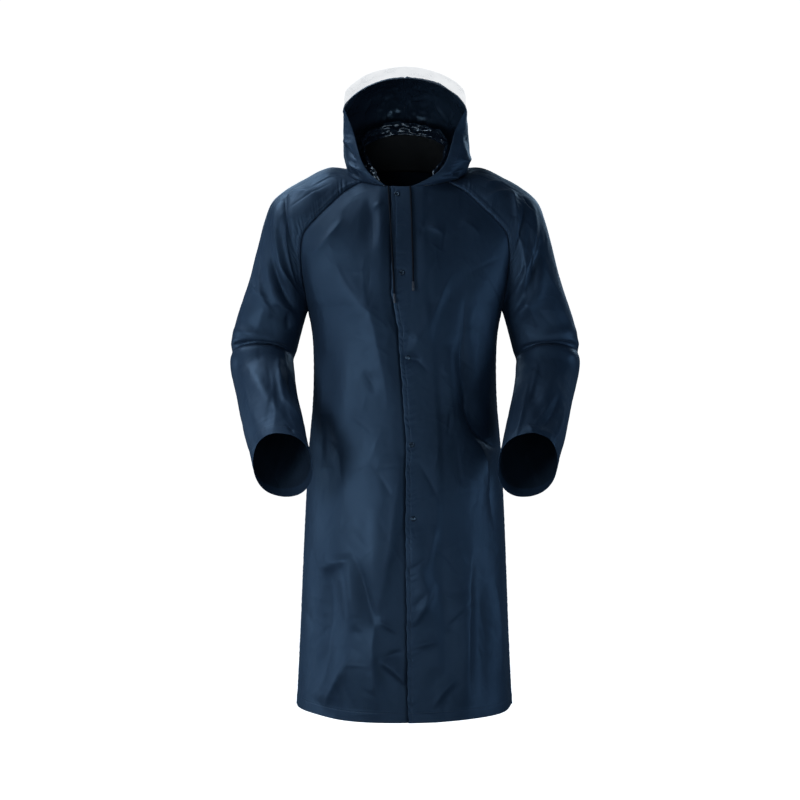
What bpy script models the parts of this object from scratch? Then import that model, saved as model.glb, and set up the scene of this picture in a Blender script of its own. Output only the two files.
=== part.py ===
"""Hooded raincoat with raglan sleeves, filled out as it is when worn.

Metres, +Z up, front towards -Y, the wearer's left towards +X. The origin is the middle of the neck
seam, level with the shoulders, which carry the coat. Every cloth panel is a thin wall between an outer
and an inner skin. The tables are in centimetres and degrees, as a pattern cutter writes them.
"""

import math

import bmesh
import bpy
import numpy as np
from mathutils import Matrix, Vector

for old in list(bpy.data.objects):
    bpy.data.objects.remove(old, do_unlink=True)

# Driving sizes.
CM = 0.01
WALL = 0.0014
SEAM_GAP = 0.0004
NECK_GAP = 0.0008
LAYER_GAP = 0.0009
VISOR_WALL = 0.0010
VISOR_REACH = 5.0
VISOR_ROOT = 0.35
VISOR_HALF_TURN = 86.0
VISOR_TAPER = 0.30
VISOR_COLUMNS, VISOR_ROWS = 25, 4
SNAP_RADIUS = 0.0062
SNAP_THICKNESS = 0.0024
SNAP_SEAT = 0.0003
SNAP_TAPER = 0.8
CORD_DIAMETER = 0.0040
TIP_RADIUS = 0.0029
TIP_LENGTH = 0.020
TIP_TAPER = 0.8
TIP_GAP = 0.0003
NECK_HALF_WIDTH = 11.5
NECK_FRONT_Y, NECK_FRONT_Z = -10.5, -4.4
NECK_SIDE_Z = -0.6
NECK_BACK_Y, NECK_BACK_Z = 8.8, 2.3

# Rows of the body: seam x, y, z; middle y, z; turn of the cloth between middle and seam.
# The first nine rows end on the raglan seam, and the ninth is level with the underarm.
FRONT_YOKE = [
    (9.28, -6.20, -2.84, -10.5, -4.4, 53.8),
    (13.2, -8.0, -5.2, -11.6, -7.0, 56.0),
    (16.6, -9.2, -8.4, -12.6, -9.8, 60.0),
    (19.8, -9.7, -11.6, -13.4, -12.6, 64.0),
    (22.2, -9.3, -14.6, -14.2, -15.6, 69.0),
    (22.9, -8.2, -18.6, -15.0, -19.2, 74.0),
    (22.7, -6.2, -23.4, -15.8, -23.6, 80.0),
    (22.1, -3.2, -28.0, -16.3, -27.8, 86.0),
    (21.7, 0.3, -30.9, -16.5, -30.9, 90.0),
]
BACK_YOKE = [
    (8.41, 6.00, 1.38, 8.8, 2.3, 47.0),
    (12.6, 7.8, -1.0, 10.1, -0.6, 52.0),
    (16.6, 9.0, -4.8, 11.4, -4.0, 57.0),
    (20.2, 9.6, -9.2, 12.6, -8.4, 62.0),
    (22.3, 9.4, -13.6, 13.7, -12.8, 68.0),
    (22.9, 8.4, -18.4, 14.6, -17.8, 74.0),
    (22.7, 6.4, -23.4, 15.2, -23.0, 80.0),
    (22.1, 3.7, -28.0, 15.5, -27.8, 86.0),
    (21.7, 0.3, -30.9, 15.6, -30.9, 90.0),
]
# Levels below the underarm: z, half width, front y, back y.
SKIRT = [
    (-35.5, 20.75, -16.5, 15.3),
    (-42.0, 20.35, -16.4, 15.0),
    (-51.0, 20.5, -16.6, 15.0),
    (-62.0, 21.4, -17.2, 15.5),
    (-73.5, 22.05, -17.9, 16.3),
    (-88.0, 22.7, -18.6, 17.3),
    (-103.0, 23.3, -19.3, 18.2),
    (-120.0, 24.1, -20.0, 19.0),
]
HEM_RISE = 0.9
SIDE_SEAM_Y = 0.3
UNDERARM_ROW = len(FRONT_YOKE) - 1
YOKE_STEPS = 10
SKIRT_STEPS = 22
FRONT_COLUMNS = 14
LAP_STEPS = 4
BACK_COLUMNS = 21

# The closing edge of the wearer's left front: z, edge x, snap x.
CLOSURE = [
    (-4.0, -3.0, -1.9),
    (-28.0, -2.9, -0.4),
    (-36.0, -1.5, 0.2),
    (-60.0, 0.2, 1.4),
    (-82.0, 0.1, 1.8),
    (-120.0, 0.6, 2.2),
]
UNDERLAP = 6.5
LIFT_RAMP = 1.8
UNDERLAP_DROP = 0.0012
SNAP_LEVELS = (-6.2, -23.6, -42.0, -60.7, -76.5)

# Folds of the body: from x, z to x, z; half width; height, below nothing for a trough.
FOLD_DEPTH = 1.35
BODY_SEAM_FADE, SLEEVE_SEAM_FADE, NECK_FADE = 0.14, 0.12, 1.6
AT_SEAM = 0.97
FRONT_FOLDS = [
    (12.1, -37.0, 13.0, -51.0, 2.0, -0.9),
    (13.0, -50.0, 17.6, -59.8, 1.9, -0.9),
    (10.0, -39.0, 10.6, -54.0, 2.3, 0.6),
    (0.8, -41.5, 8.5, -28.0, 2.0, 0.6),
    (2.5, -37.5, 16.5, -20.5, 2.2, -0.5),
    (4.5, -14.0, 6.2, -30.0, 2.2, 0.4),
    (-7.4, -7.5, -8.2, -18.5, 1.6, -0.6),
    (-5.2, -8.0, -5.6, -21.0, 1.7, 0.5),
    (-16.0, -22.0, -6.0, -36.0, 2.6, 0.5),
    (-17.0, -54.0, -17.4, -66.0, 1.8, -0.7),
    (-13.5, -38.0, -12.6, -62.0, 2.8, 0.5),
    (-12.6, -84.0, -11.0, -101.0, 2.3, 0.8),
    (-16.6, -86.0, -14.8, -104.0, 2.3, -0.8),
    (-18.6, -117.0, -12.4, -105.0, 1.8, 0.6),
    (-7.1, -106.5, -1.4, -112.0, 1.8, -0.4),
    (-5.6, -68.0, -7.4, -92.0, 2.6, 0.4),
    (1.6, -78.0, 5.2, -100.0, 1.9, 0.7),
    (5.6, -79.0, 8.4, -101.0, 2.0, -0.5),
    (9.5, -100.0, 14.2, -93.0, 1.9, 0.5),
    (15.8, -84.0, 17.0, -119.0, 2.2, -0.9),
    (12.0, -90.0, 12.6, -119.0, 2.4, 0.6),
    (6.0, -108.0, 6.6, -120.0, 2.0, -0.5),
]
BACK_FOLDS = [
    (-14.0, -12.0, -7.0, -33.0, 2.6, 0.5),
    (13.5, -13.0, 7.5, -34.0, 2.6, 0.5),
    (0.0, -14.0, 0.6, -40.0, 3.0, -0.5),
    (-11.0, -42.0, -12.5, -70.0, 2.6, -0.6),
    (10.5, -40.0, 12.0, -68.0, 2.6, -0.6),
    (-5.0, -52.0, -6.5, -84.0, 2.8, 0.6),
    (5.5, -56.0, 6.0, -88.0, 2.8, 0.6),
    (-13.5, -80.0, -15.5, -119.0, 2.5, 0.9),
    (-9.0, -84.0, -10.0, -119.0, 2.5, -0.8),
    (-1.0, -78.0, -1.5, -119.0, 2.6, 0.7),
    (4.0, -92.0, 4.6, -119.0, 2.2, -0.7),
    (13.0, -82.0, 14.0, -119.0, 2.6, 0.8),
]
# Slow waves that deepen towards the hem: waves round the body, phase, height at the hem.
HEM_WAVES = [(3, 0.6, 0.35), (5, 2.1, 0.40), (8, 4.0, 0.20)]
WAVE_TOP_Z, WAVE_FULL_Z = -0.55, -1.15

# The shoulder side of the raglan sleeve, row for row with the yoke: ridge x, y, z; half depth.
SHOULDER = [
    (11.5, 0.0, -0.6, 6.5),
    (16.8, 0.3, 0.9, 8.3),
    (22.2, 0.4, -1.4, 9.4),
    (26.6, 0.5, -3.9, 9.9),
    (29.7, 0.6, -6.8, 9.7),
    (31.3, 0.7, -10.6, 9.1),
    (32.8, 0.8, -16.0, 8.6),
    (34.2, 0.9, -21.7, 8.2),
    (35.7, 1.0, -27.5, 7.9),
]
# Rings of the arm below the underarm: centre x, y, z; half width, half depth; pitch, lean.
ARM = [
    (28.75, 0.65, -29.2, 7.2, 7.9, 0.0, 13.6),
    (29.9, 0.9, -32.5, 7.35, 7.9, 3.0, 12.0),
    (30.9, 1.3, -36.0, 7.4, 7.9, 6.0, 9.0),
    (31.6, 1.5, -39.0, 7.35, 7.8, 12.0, 6.0),
    (31.9, 1.3, -41.3, 6.9, 7.2, 24.0, 3.0),
    (32.0, 0.4, -43.4, 7.15, 7.7, 35.0, 0.0),
    (31.4, -2.3, -46.6, 6.9, 7.4, 42.0, -2.0),
    (30.4, -6.2, -50.4, 6.7, 7.2, 46.0, -2.0),
    (29.2, -10.6, -54.5, 6.7, 7.1, 48.0, -1.0),
    (27.9, -15.2, -58.9, 6.6, 7.1, 52.0, 1.0),
    (26.8, -18.9, -62.4, 6.4, 7.2, 60.0, 3.0),
    (26.0, -21.5, -64.9, 6.3, 7.35, 68.0, 4.0),
]
ARM_STEPS = 22
RING_SQUARENESS = 0.04
SLEEVE_COLUMNS = 17
ROW_PITCH = 3.4
DEGREE_PITCH = 0.128
# Folds of a sleeve: from row, angle to row, angle; half width; height. Angle 0 is the outside, -90 the front.
SLEEVE_FOLDS = [
    (8.0, -150.0, 3.6, -62.0, 1.7, 0.6),
    (9.6, -158.0, 6.4, -60.0, 1.7, 0.6),
    (8.8, -150.0, 5.2, -70.0, 1.5, -0.5),
    (12.0, -150.0, 12.0, -20.0, 1.5, -0.9),
    (11.0, -120.0, 10.2, -10.0, 1.6, 0.5),
    (13.2, -140.0, 13.6, -10.0, 1.7, 0.6),
    (13.0, 20.0, 12.4, 130.0, 1.8, -0.6),
    (11.4, 10.0, 11.0, 120.0, 1.8, 0.5),
    (14.6, -60.0, 17.6, -100.0, 1.6, 0.5),
    (15.2, -120.0, 18.0, -60.0, 1.5, -0.4),
    (8.0, 150.0, 4.4, 66.0, 1.8, 0.6),
    (9.4, 156.0, 6.6, 70.0, 1.7, -0.5),
]

# Arches of one side of the hood, from its edge to its back seam:
# crown y, z; side x, y, z; neck angle; fullness below and above.
HOOD = [
    (-7.0, 19.8, 13.45, -5.6, 13.2, 18.0, 0.12, 1.35),
    (-4.6, 20.4, 13.70, -3.9, 12.6, 36.0, 0.50, 1.20),
    (-1.2, 20.8, 13.75, -1.0, 11.4, 58.0, 0.85, 1.05),
    (3.0, 20.6, 13.50, 2.5, 10.0, 82.0, 1.00, 1.00),
    (7.2, 19.2, 12.60, 6.0, 8.9, 106.0, 1.00, 1.00),
    (10.6, 16.4, 10.60, 9.2, 7.9, 130.0, 1.00, 1.00),
    (12.8, 12.9, 7.40, 11.7, 7.1, 151.0, 1.00, 1.00),
    (13.9, 10.0, 3.80, 13.2, 6.5, 166.0, 1.00, 1.00),
    (14.2, 8.6, 0.00, 13.8, 6.0, 180.0, 1.00, 1.00),
]
HOOD_CENTRE = (0.0, 2.0, 8.0)
HOOD_STEPS = 15
HOOD_COLUMNS = 13
EDGE_NECK_ANGLE = {1: 7.0, -1: 21.0}
LOW_ROUNDNESS = 0.62
LOW_BULGE = {1: 0.9, -1: 0.2}
HOOD_FOLDS = [
    (0.4, 0.62, 2.6, 0.90, 0.10, 0.6),
    (0.6, 0.78, 2.2, 1.00, 0.08, -0.4),
    (2.6, 0.60, 4.4, 0.86, 0.12, -0.5),
    (4.6, 0.40, 6.4, 0.70, 0.12, 0.5),
]

# The inner stand band: its top ring.
BAND_TOP_HALF_WIDTH = 9.7
BAND_TOP_FRONT_Y, BAND_TOP_BACK_Y = -8.7, 7.6
BAND_TOP_FRONT_Z, BAND_TOP_SIDE_Z, BAND_TOP_BACK_Z = -3.0, 5.4, 12.0
BAND_START_ANGLE = 32.0
BAND_BOW = 0.4
BAND_COLUMNS = 29
BAND_ROWS = 5

# Routes of the drawcords, top to tip.
CORD_ROUTES = {
    "left": [
        (1.10, -11.05, -4.4), (1.16, -11.38, -5.2), (1.22, -11.94, -6.4), (1.28, -12.50, -7.8),
        (1.34, -13.05, -9.4), (1.40, -13.60, -11.2), (1.46, -14.17, -13.2), (1.52, -14.76, -15.4),
        (1.58, -15.28, -17.6), (1.64, -15.74, -19.8), (1.68, -16.11, -21.8), (1.72, -16.43, -23.8),
        (1.74, -16.68, -25.6),
    ],
    "right": [
        (-3.65, -10.64, -4.4), (-3.60, -11.12, -5.2), (-3.52, -11.82, -6.5), (-3.44, -12.48, -8.0),
        (-3.34, -13.10, -9.6), (-3.22, -13.70, -11.4), (-3.10, -14.28, -13.4), (-2.98, -14.85, -15.6),
        (-2.86, -15.32, -17.8), (-2.74, -15.74, -20.0), (-2.62, -16.10, -22.2), (-2.50, -16.43, -24.4),
        (-2.40, -16.68, -26.4), (-2.32, -16.85, -28.2),
    ],
}
CORD_POINTS = 22

coat = bpy.data.collections.new("raincoat")
bpy.context.scene.collection.children.link(coat)


def finish(name, colour, roughness, metallic=0.0, transmission=0.0):
    made = bpy.data.materials.new(name)
    made.use_nodes = True
    shader = made.node_tree.nodes["Principled BSDF"]
    shader.inputs["Base Color"].default_value = (*colour, 1.0)
    shader.inputs["Roughness"].default_value = roughness
    shader.inputs["Metallic"].default_value = metallic
    shader.inputs["Transmission Weight"].default_value = transmission
    return made


SHELL = finish("coated_cloth", (0.022, 0.043, 0.085), 0.42)
VISOR = finish("clear_sheet", (0.92, 0.94, 0.96), 0.12, transmission=0.9)
METAL = finish("snap_metal", (0.03, 0.045, 0.07), 0.3, metallic=0.8)
CORD = finish("cord", (0.01, 0.013, 0.022), 0.7)
TIP = finish("cord_tip", (0.05, 0.06, 0.09), 0.35)


def smooth(value):
    """0 below 0, 1 above 1, and a soft step between."""
    value = min(max(value, 0.0), 1.0)
    return value * value * (3.0 - 2.0 * value)


def read(table, place):
    """Every column of a table at a row number that may lie between two rows."""
    rows = np.asarray(table, float)
    last = len(rows) - 1
    place = min(max(place, 0.0), float(last))
    row = min(int(place), last - 1)
    u = place - row
    before, start, end, after = (rows[min(max(row + step, 0), last)] for step in (-1, 0, 1, 2))
    bend = 2.0 * before - 5.0 * start + 4.0 * end - after
    twist = 3.0 * (start - end) + after - before
    return start + 0.5 * u * ((end - before) + u * (bend + u * twist))


def relief(folds, across, along, across_scale=1.0, along_scale=1.0):
    """The height of a list of folds at one place on the cloth."""
    height = 0.0
    here = np.array((across * across_scale, along * along_scale))
    for a0, b0, a1, b1, half_width, peak in folds:
        start = np.array((a0 * across_scale, b0 * along_scale))
        run = np.array((a1 * across_scale, b1 * along_scale)) - start
        share = float(np.dot(here - start, run) / np.dot(run, run))
        away = np.linalg.norm(here - start - run * min(max(share, 0.0), 1.0))
        taper = math.sin(math.pi * min(max(share, 0.0), 1.0))
        height += peak * taper * math.exp(-((away / half_width) ** 2))
    return height


def outward(surface, u, v, centre, step=0.01):
    """The unit normal of a surface, pointing away from a centre line or point."""
    along_u = surface(u + step, v) - surface(u - step, v)
    along_v = surface(u, v + step) - surface(u, v - step)
    normal = np.cross(along_u, along_v)
    normal /= np.linalg.norm(normal)
    return normal if np.dot(normal, surface(u, v) - centre) > 0.0 else -normal


def neck(angle):
    """The neck seam, 0 degrees at the middle front and 180 at the middle back."""
    c, s = math.cos(math.radians(angle)), math.sin(math.radians(angle))
    deep, high = (NECK_FRONT_Y, NECK_FRONT_Z) if c > 0.0 else (NECK_BACK_Y, NECK_BACK_Z)
    return np.array((NECK_HALF_WIDTH * s, deep * abs(c), NECK_SIDE_Z + (high - NECK_SIDE_Z) * abs(c)))


def wall(name, outer, inner, material, joined_from=None):
    """A closed wall between two grids of points. Rows from joined_from on close on themselves.

    Both skins are cut into triangles along the same diagonals, the shorter ones, so that they never cross.
    """
    rows, columns = len(outer), len(outer[0])
    joined_from = rows if joined_from is None else joined_from
    mesh = bmesh.new()
    skins = []
    for grid in (outer, inner):
        skin = []
        for row, points in enumerate(grid):
            line = [mesh.verts.new(tuple(point)) for point in points[: columns - (row >= joined_from)]]
            skin.append(line + [line[0]] * (row >= joined_from))
        skins.append(skin)
    top, under = skins
    for row in range(rows - 1):
        for column in range(columns - 1):
            corners = [(row, column), (row + 1, column), (row + 1, column + 1), (row, column + 1)]
            spans = [(top[r][c].co - top[q][d].co).length for (r, c), (q, d) in (corners[::2], corners[1::2])]
            if spans[1] < spans[0]:
                corners = corners[1:] + corners[:1]
            for half in (corners[:3], [corners[0], corners[2], corners[3]]):
                mesh.faces.new([top[r][c] for r, c in half])
                mesh.faces.new([under[r][c] for r, c in reversed(half)])
    for row in (0, rows - 1):
        for column in range(columns - 1):
            rim = (top[row][column], top[row][column + 1], under[row][column + 1], under[row][column])
            mesh.faces.new(rim)
    for column in (0, columns - 1):
        for row in range(min(rows - 1, joined_from)):
            rim = (top[row][column], top[row + 1][column], under[row + 1][column], under[row][column])
            mesh.faces.new(rim)
    bmesh.ops.recalc_face_normals(mesh, faces=mesh.faces)
    return add(name, mesh, material)


def add(name, mesh, material):
    data = bpy.data.meshes.new(name)
    mesh.to_mesh(data)
    mesh.free()
    data.materials.append(material)
    data.shade_smooth()
    data.set_sharp_from_angle(angle=math.radians(40.0))
    made = bpy.data.objects.new(name, data)
    coat.objects.link(made)
    return made


def read_body(rows, place):
    """A row of the body. The yoke and the skirt are smooth by themselves and meet at the underarm."""
    if place < UNDERARM_ROW:
        return read(rows[: UNDERARM_ROW + 1], place)
    return read(rows[UNDERARM_ROW:], place - UNDERARM_ROW)


def hem_rise(z):
    """How much higher the side seam is than the middle of a row: the hem is cut a little short there."""
    return HEM_RISE * max(0.0, (SKIRT[-2][0] - z) / (SKIRT[-2][0] - SKIRT[-1][0]))


# Body: a front or back half row runs from the middle of the coat to its raglan or side seam.
FRONT_ROWS, BACK_ROWS = list(FRONT_YOKE), list(BACK_YOKE)
for z, half_width, front_y, back_y in SKIRT:
    FRONT_ROWS.append((half_width, SIDE_SEAM_Y, z + hem_rise(z), front_y, z, 90.0))
    BACK_ROWS.append((half_width, SIDE_SEAM_Y, z + hem_rise(z), back_y, z, 90.0))
ROW_PLACES = [UNDERARM_ROW * step / YOKE_STEPS for step in range(YOKE_STEPS + 1)]
ROW_PLACES += [UNDERARM_ROW + len(SKIRT) * step / SKIRT_STEPS for step in range(1, SKIRT_STEPS + 1)]


def body(rows, side):
    """The plain surface of a half of the body: place along the rows, share of the way to the seam."""

    def point(place, share):
        seam_x, seam_y, seam_z, middle_y, middle_z, turn = read_body(rows, place)
        turn = math.radians(turn)
        swing = (1.0 - math.cos(share * turn)) / (1.0 - math.cos(turn))
        x = side * seam_x * math.sin(share * turn) / math.sin(turn)
        y = middle_y + (seam_y - middle_y) * swing
        z = middle_z + (seam_z - middle_z) * swing
        angle = side * share * turn if middle_y < 0.0 else math.pi - side * share * turn
        depth = smooth((WAVE_TOP_Z - z * CM) / (WAVE_TOP_Z - WAVE_FULL_Z))
        high = sum(peak * math.cos(count * angle + phase) for count, phase, peak in HEM_WAVES)
        wave = 1.0 + depth * high / SKIRT[-1][1]
        return np.array((x * wave, y * wave, z)) * CM

    return point


def middle_line(z):
    return np.array((0.0, 0.0, z))


def seam_share(rows, place, x):
    """How far along a row a given x lies, in shares of the way to the seam."""
    seam_x, turn = read_body(rows, place)[[0, 5]]
    turn = math.radians(turn)
    return math.asin(x * math.sin(turn) / seam_x) / turn


def closure(z):
    """The closing edge's x and the snaps' x at a height, in centimetres."""
    levels = [row[0] for row in CLOSURE]
    return [float(np.interp(-z, [-level for level in levels], [row[k] for row in CLOSURE])) for k in (1, 2)]


def front_height(side, place, share, point, edge_x):
    """How far a front stands off its plain surface: its folds, and the lift of the layer that lies on top."""
    x, z = point[0] / CM, point[2] / CM
    fade = smooth((1.0 - share) / BODY_SEAM_FADE) * smooth(place / NECK_FADE)
    height = relief(FRONT_FOLDS, x, z) * FOLD_DEPTH * fade * CM
    if side > 0:
        height += smooth((edge_x + UNDERLAP + LIFT_RAMP - x) / LIFT_RAMP) * (WALL + LAYER_GAP)
    else:
        height -= smooth((x - edge_x) / LIFT_RAMP) * UNDERLAP_DROP
    return height


def seam_inset(surface, place, share):
    """The share of a row that half the seam gap takes."""
    step = np.linalg.norm(surface(place, share) - surface(place, share - 0.01)) / 0.01
    return 0.5 * SEAM_GAP / step


def front_skins(side):
    """The two fronts share their columns where they lap, so that they stay parallel there."""
    surface = body(FRONT_ROWS, side)
    outer, inner = [], []
    for place in ROW_PLACES:
        z = read_body(FRONT_ROWS, place)[4]
        edge_x, _ = closure(z)
        lap_x = [edge_x + UNDERLAP * step / LAP_STEPS for step in range(LAP_STEPS + 1)]
        lap = [seam_share(FRONT_ROWS, place, side * x) for x in lap_x]
        shares = lap if side > 0 else lap[::-1]
        last = 1.0 - seam_inset(surface, place, 1.0)
        shares = shares[:-1] + list(np.linspace(shares[-1], last, FRONT_COLUMNS - LAP_STEPS))
        top, under = [], []
        for share in shares:
            point = surface(place, share)
            normal = outward(surface, place, share, middle_line(point[2]))
            if AT_SEAM < share and 0.0 < place < UNDERARM_ROW:
                normal = shared_direction(normal, sleeve_normal(sleeve(side), place, 0.0))
            raised = point + normal * front_height(side, place, share, point, edge_x)
            top.append(raised)
            under.append(raised - normal * WALL)
        outer.append(top)
        inner.append(under)
    return outer, inner


def back_skins():
    outer, inner = [], []
    half = BACK_COLUMNS // 2
    for place in ROW_PLACES:
        top, under = [], []
        for column in range(-half, half + 1):
            side = 1 if column >= 0 else -1
            surface = body(BACK_ROWS, side)
            share = abs(column) / half * (1.0 - seam_inset(surface, place, 1.0))
            point = surface(place, share)
            normal = outward(surface, place, max(share, 0.02), middle_line(point[2]))
            if share == 0.0:
                normal[0] = 0.0
                normal /= np.linalg.norm(normal)
            if AT_SEAM < share and 0.0 < place < UNDERARM_ROW:
                normal = shared_direction(normal, sleeve_normal(sleeve(side), place, 1.0))
            fade = smooth((1.0 - share) / BODY_SEAM_FADE) * smooth(place / NECK_FADE)
            height = relief(BACK_FOLDS, point[0] / CM, point[2] / CM) * FOLD_DEPTH * fade * CM
            raised = point + normal * height
            top.append(raised)
            under.append(raised - normal * WALL)
        outer.append(top)
        inner.append(under)
    return outer, inner


# Sleeve: rows as on the yoke down to the underarm, then rings down the arm.
def sleeve(side):
    """The plain surface of a sleeve: place along it, share of the way from front seam to back seam."""

    def point(place, share):
        if place < UNDERARM_ROW:
            if place <= 0.0:
                here = neck(FRONT_YOKE[0][5] + (180.0 - BACK_YOKE[0][5] - FRONT_YOKE[0][5]) * share)
                return here * (side, 1.0, 1.0) * CM
            front, back = read(FRONT_YOKE, place)[:3], read(BACK_YOKE, place)[:3]
            *ridge, half_depth = read(SHOULDER, place)
            ridge = np.array(ridge)
            half_gap = np.linalg.norm(back - front) / 2.0
            meet = math.asin(min(half_gap / half_depth, 1.0))
            deep = (back - front) / 2.0 / math.sin(meet)
            wide = (ridge - (front + back) / 2.0) / (1.0 + math.cos(meet))
            centre = ridge - wide
        else:
            x, y, z, half_width, half_depth, pitch, lean = read(ARM, place - UNDERARM_ROW)
            pitch, lean, meet = math.radians(pitch), math.radians(lean), 0.0
            centre = np.array((x, y, z))
            wide = np.array((math.cos(lean), 0.0, math.sin(lean))) * half_width
            deep = np.array((0.0, math.cos(pitch), -math.sin(pitch))) * half_depth
        angle = (2.0 * share - 1.0) * (math.pi - meet)
        square = 1.0 + RING_SQUARENESS * smooth(place - UNDERARM_ROW) * math.sin(2.0 * angle) ** 2
        here = centre + (wide * math.cos(angle) + deep * math.sin(angle)) * square
        return here * (side, 1.0, 1.0) * CM

    return point


def sleeve_axis(surface, place):
    """The middle of a sleeve's ring, which its outward side faces away from."""
    return (surface(place, 0.5) + surface(place, 0.02) * 0.5 + surface(place, 0.98) * 0.5) / 2.0


def sleeve_normal(surface, place, share):
    step = 0.004
    near = min(max(share, step), 1.0 - step)
    if UNDERARM_ROW - 0.02 < place < UNDERARM_ROW + 0.02:
        place = UNDERARM_ROW + 0.02
    return outward(surface, max(place, 0.02), near, sleeve_axis(surface, place), step)


def shared_direction(own, other):
    """The direction through the cloth where two pieces meet, so that their edges lie side by side."""
    shared = own + other * max(float(np.dot(own, other)), 0.0)
    return shared / np.linalg.norm(shared)


def sleeve_skins(side):
    surface = sleeve(side)
    places = ROW_PLACES[: YOKE_STEPS + 1]
    places = places + [UNDERARM_ROW + (len(ARM) - 1) * step / ARM_STEPS for step in range(1, ARM_STEPS + 1)]
    outer, inner = [], []
    for place in places:
        top, under = [], []
        open_row = place < UNDERARM_ROW
        inset = 0.5 * SEAM_GAP / (np.linalg.norm(surface(place, 0.01) - surface(place, 0.0)) / 0.01)
        for column in range(SLEEVE_COLUMNS):
            share = column / (SLEEVE_COLUMNS - 1)
            if open_row:
                share = inset + share * (1.0 - 2.0 * inset)
            point = surface(place, share)
            normal = sleeve_normal(surface, place, share)
            if not open_row and column in (0, SLEEVE_COLUMNS - 1):
                ends = sleeve_normal(surface, place, 0.0) + sleeve_normal(surface, place, 1.0)
                normal = ends / np.linalg.norm(ends)
            if open_row and place > 0.0 and column in (0, SLEEVE_COLUMNS - 1):
                torso = body(FRONT_ROWS if column == 0 else BACK_ROWS, side)
                normal = shared_direction(normal, outward(torso, place, 1.0, middle_line(point[2])))
            angle = (2.0 * share - 1.0) * 180.0
            fade = smooth(place / NECK_FADE)
            if open_row:
                fade *= smooth(min(share, 1.0 - share) / SLEEVE_SEAM_FADE)
            height = relief(SLEEVE_FOLDS, place, angle, ROW_PITCH, DEGREE_PITCH) * FOLD_DEPTH * fade * CM
            if not open_row:
                near = smooth((place - UNDERARM_ROW) / 1.5)
                inner_side = smooth((abs(angle) - 120.0) / 50.0)
                height *= 1.0 - inner_side * (1.0 - near)
            raised = point + normal * height
            if place == UNDERARM_ROW:
                raised[0] += side * SEAM_GAP * inner_side
            top.append(raised)
            under.append(raised - normal * WALL)
        outer.append(top)
        inner.append(under)
    return outer, inner


def hood(side):
    """The plain surface of one side of the hood: place from edge to back seam, share from crown to neck."""

    def point(place, share):
        crown_y, crown_z, side_x, side_y, side_z, angle, low_fullness, high_fullness = read(HOOD, place)
        edge = smooth(1.0 - place / 2.0)
        angle += (EDGE_NECK_ANGLE[side] - HOOD[0][5]) * edge
        base = neck(angle)
        base[2] += NECK_GAP / CM
        turn = min(max(2.0 * share, 0.0), 1.0) * math.pi / 2.0
        if share <= 0.5:
            fall = math.cos(turn) ** high_fullness
            x = side_x * math.sin(turn)
            y = side_y + (crown_y - side_y) * math.cos(turn)
            z = side_z + (crown_z - side_z) * fall
        else:
            down = min(2.0 * share - 1.0, 1.0)
            turn = down * math.pi / 2.0
            x_round = base[0] + (side_x - base[0]) * math.cos(turn) ** LOW_ROUNDNESS
            z_round = side_z + (base[2] - side_z) * math.sin(turn)
            x_plain = side_x + (base[0] - side_x) * down
            z_plain = side_z + (base[2] - side_z) * down
            x = x_plain + (x_round - x_plain) * low_fullness
            bulge = LOW_BULGE[side] * math.sin(math.pi * down)
            x += bulge * smooth(place / 1.5) * smooth((6.0 - place) / 3.0)
            z = z_plain + (z_round - z_plain) * low_fullness
            y = side_y + (base[1] - side_y) * smooth(down)
        return np.array((side * x, y, z)) * CM

    return point


def hood_skins(side):
    surface = hood(side)
    centre = np.array(HOOD_CENTRE) * CM
    outer, inner = [], []
    for step in range(HOOD_STEPS):
        place = (len(HOOD) - 1) * step / (HOOD_STEPS - 1)
        top, under = [], []
        for column in range(HOOD_COLUMNS):
            share = column / (HOOD_COLUMNS - 1)
            point = surface(place, share)
            look = min(max(share, 0.02), 0.97)
            normal = outward(surface, min(max(place, 0.05), len(HOOD) - 1.05), look, centre)
            if share == 0.0 or step == HOOD_STEPS - 1:
                normal[0] = 0.0
            if share == 1.0:
                normal = np.array((point[0], point[1], 0.0))
            normal /= np.linalg.norm(normal)
            fade = smooth(share / 0.2) * smooth((1.0 - share) / 0.12) * smooth((len(HOOD) - 1 - place) / 1.5)
            raised = point + normal * relief(HOOD_FOLDS, place * 0.1, share, 1.0, 1.0) * fade * CM
            if share == 0.0 or step == HOOD_STEPS - 1:
                raised[0] = side * 0.5 * SEAM_GAP
            top.append(raised)
            under.append(raised - normal * WALL)
        outer.append(top)
        inner.append(under)
    return outer, inner


def neck_band_skins():
    inset = WALL + 1.5 * NECK_GAP
    outer, inner = [], []
    for row in range(BAND_ROWS):
        rise = row / (BAND_ROWS - 1)
        top, under = [], []
        for column in range(BAND_COLUMNS):
            angle = BAND_START_ANGLE + (360.0 - 2.0 * BAND_START_ANGLE) * column / (BAND_COLUMNS - 1)
            c, s = math.cos(math.radians(angle)), math.sin(math.radians(angle))
            foot = neck(angle) * CM
            flat = np.array((foot[0], foot[1], 0.0))
            flat /= np.linalg.norm(flat)
            foot = foot - flat * inset
            ring_y = BAND_TOP_FRONT_Y if c > 0.0 else BAND_TOP_BACK_Y
            ring_z = BAND_TOP_FRONT_Z if c > 0.0 else BAND_TOP_BACK_Z
            rim = np.array((
                BAND_TOP_HALF_WIDTH * s,
                ring_y * abs(c),
                BAND_TOP_SIDE_Z + (ring_z - BAND_TOP_SIDE_Z) * abs(c),
            )) * CM
            bow = BAND_BOW * CM * math.sin(math.pi * rise)
            point = foot + (rim - foot) * rise + flat * bow
            top.append(point)
            under.append(point - flat * WALL)
        outer.append(top)
        inner.append(under)
    return outer, inner


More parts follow.
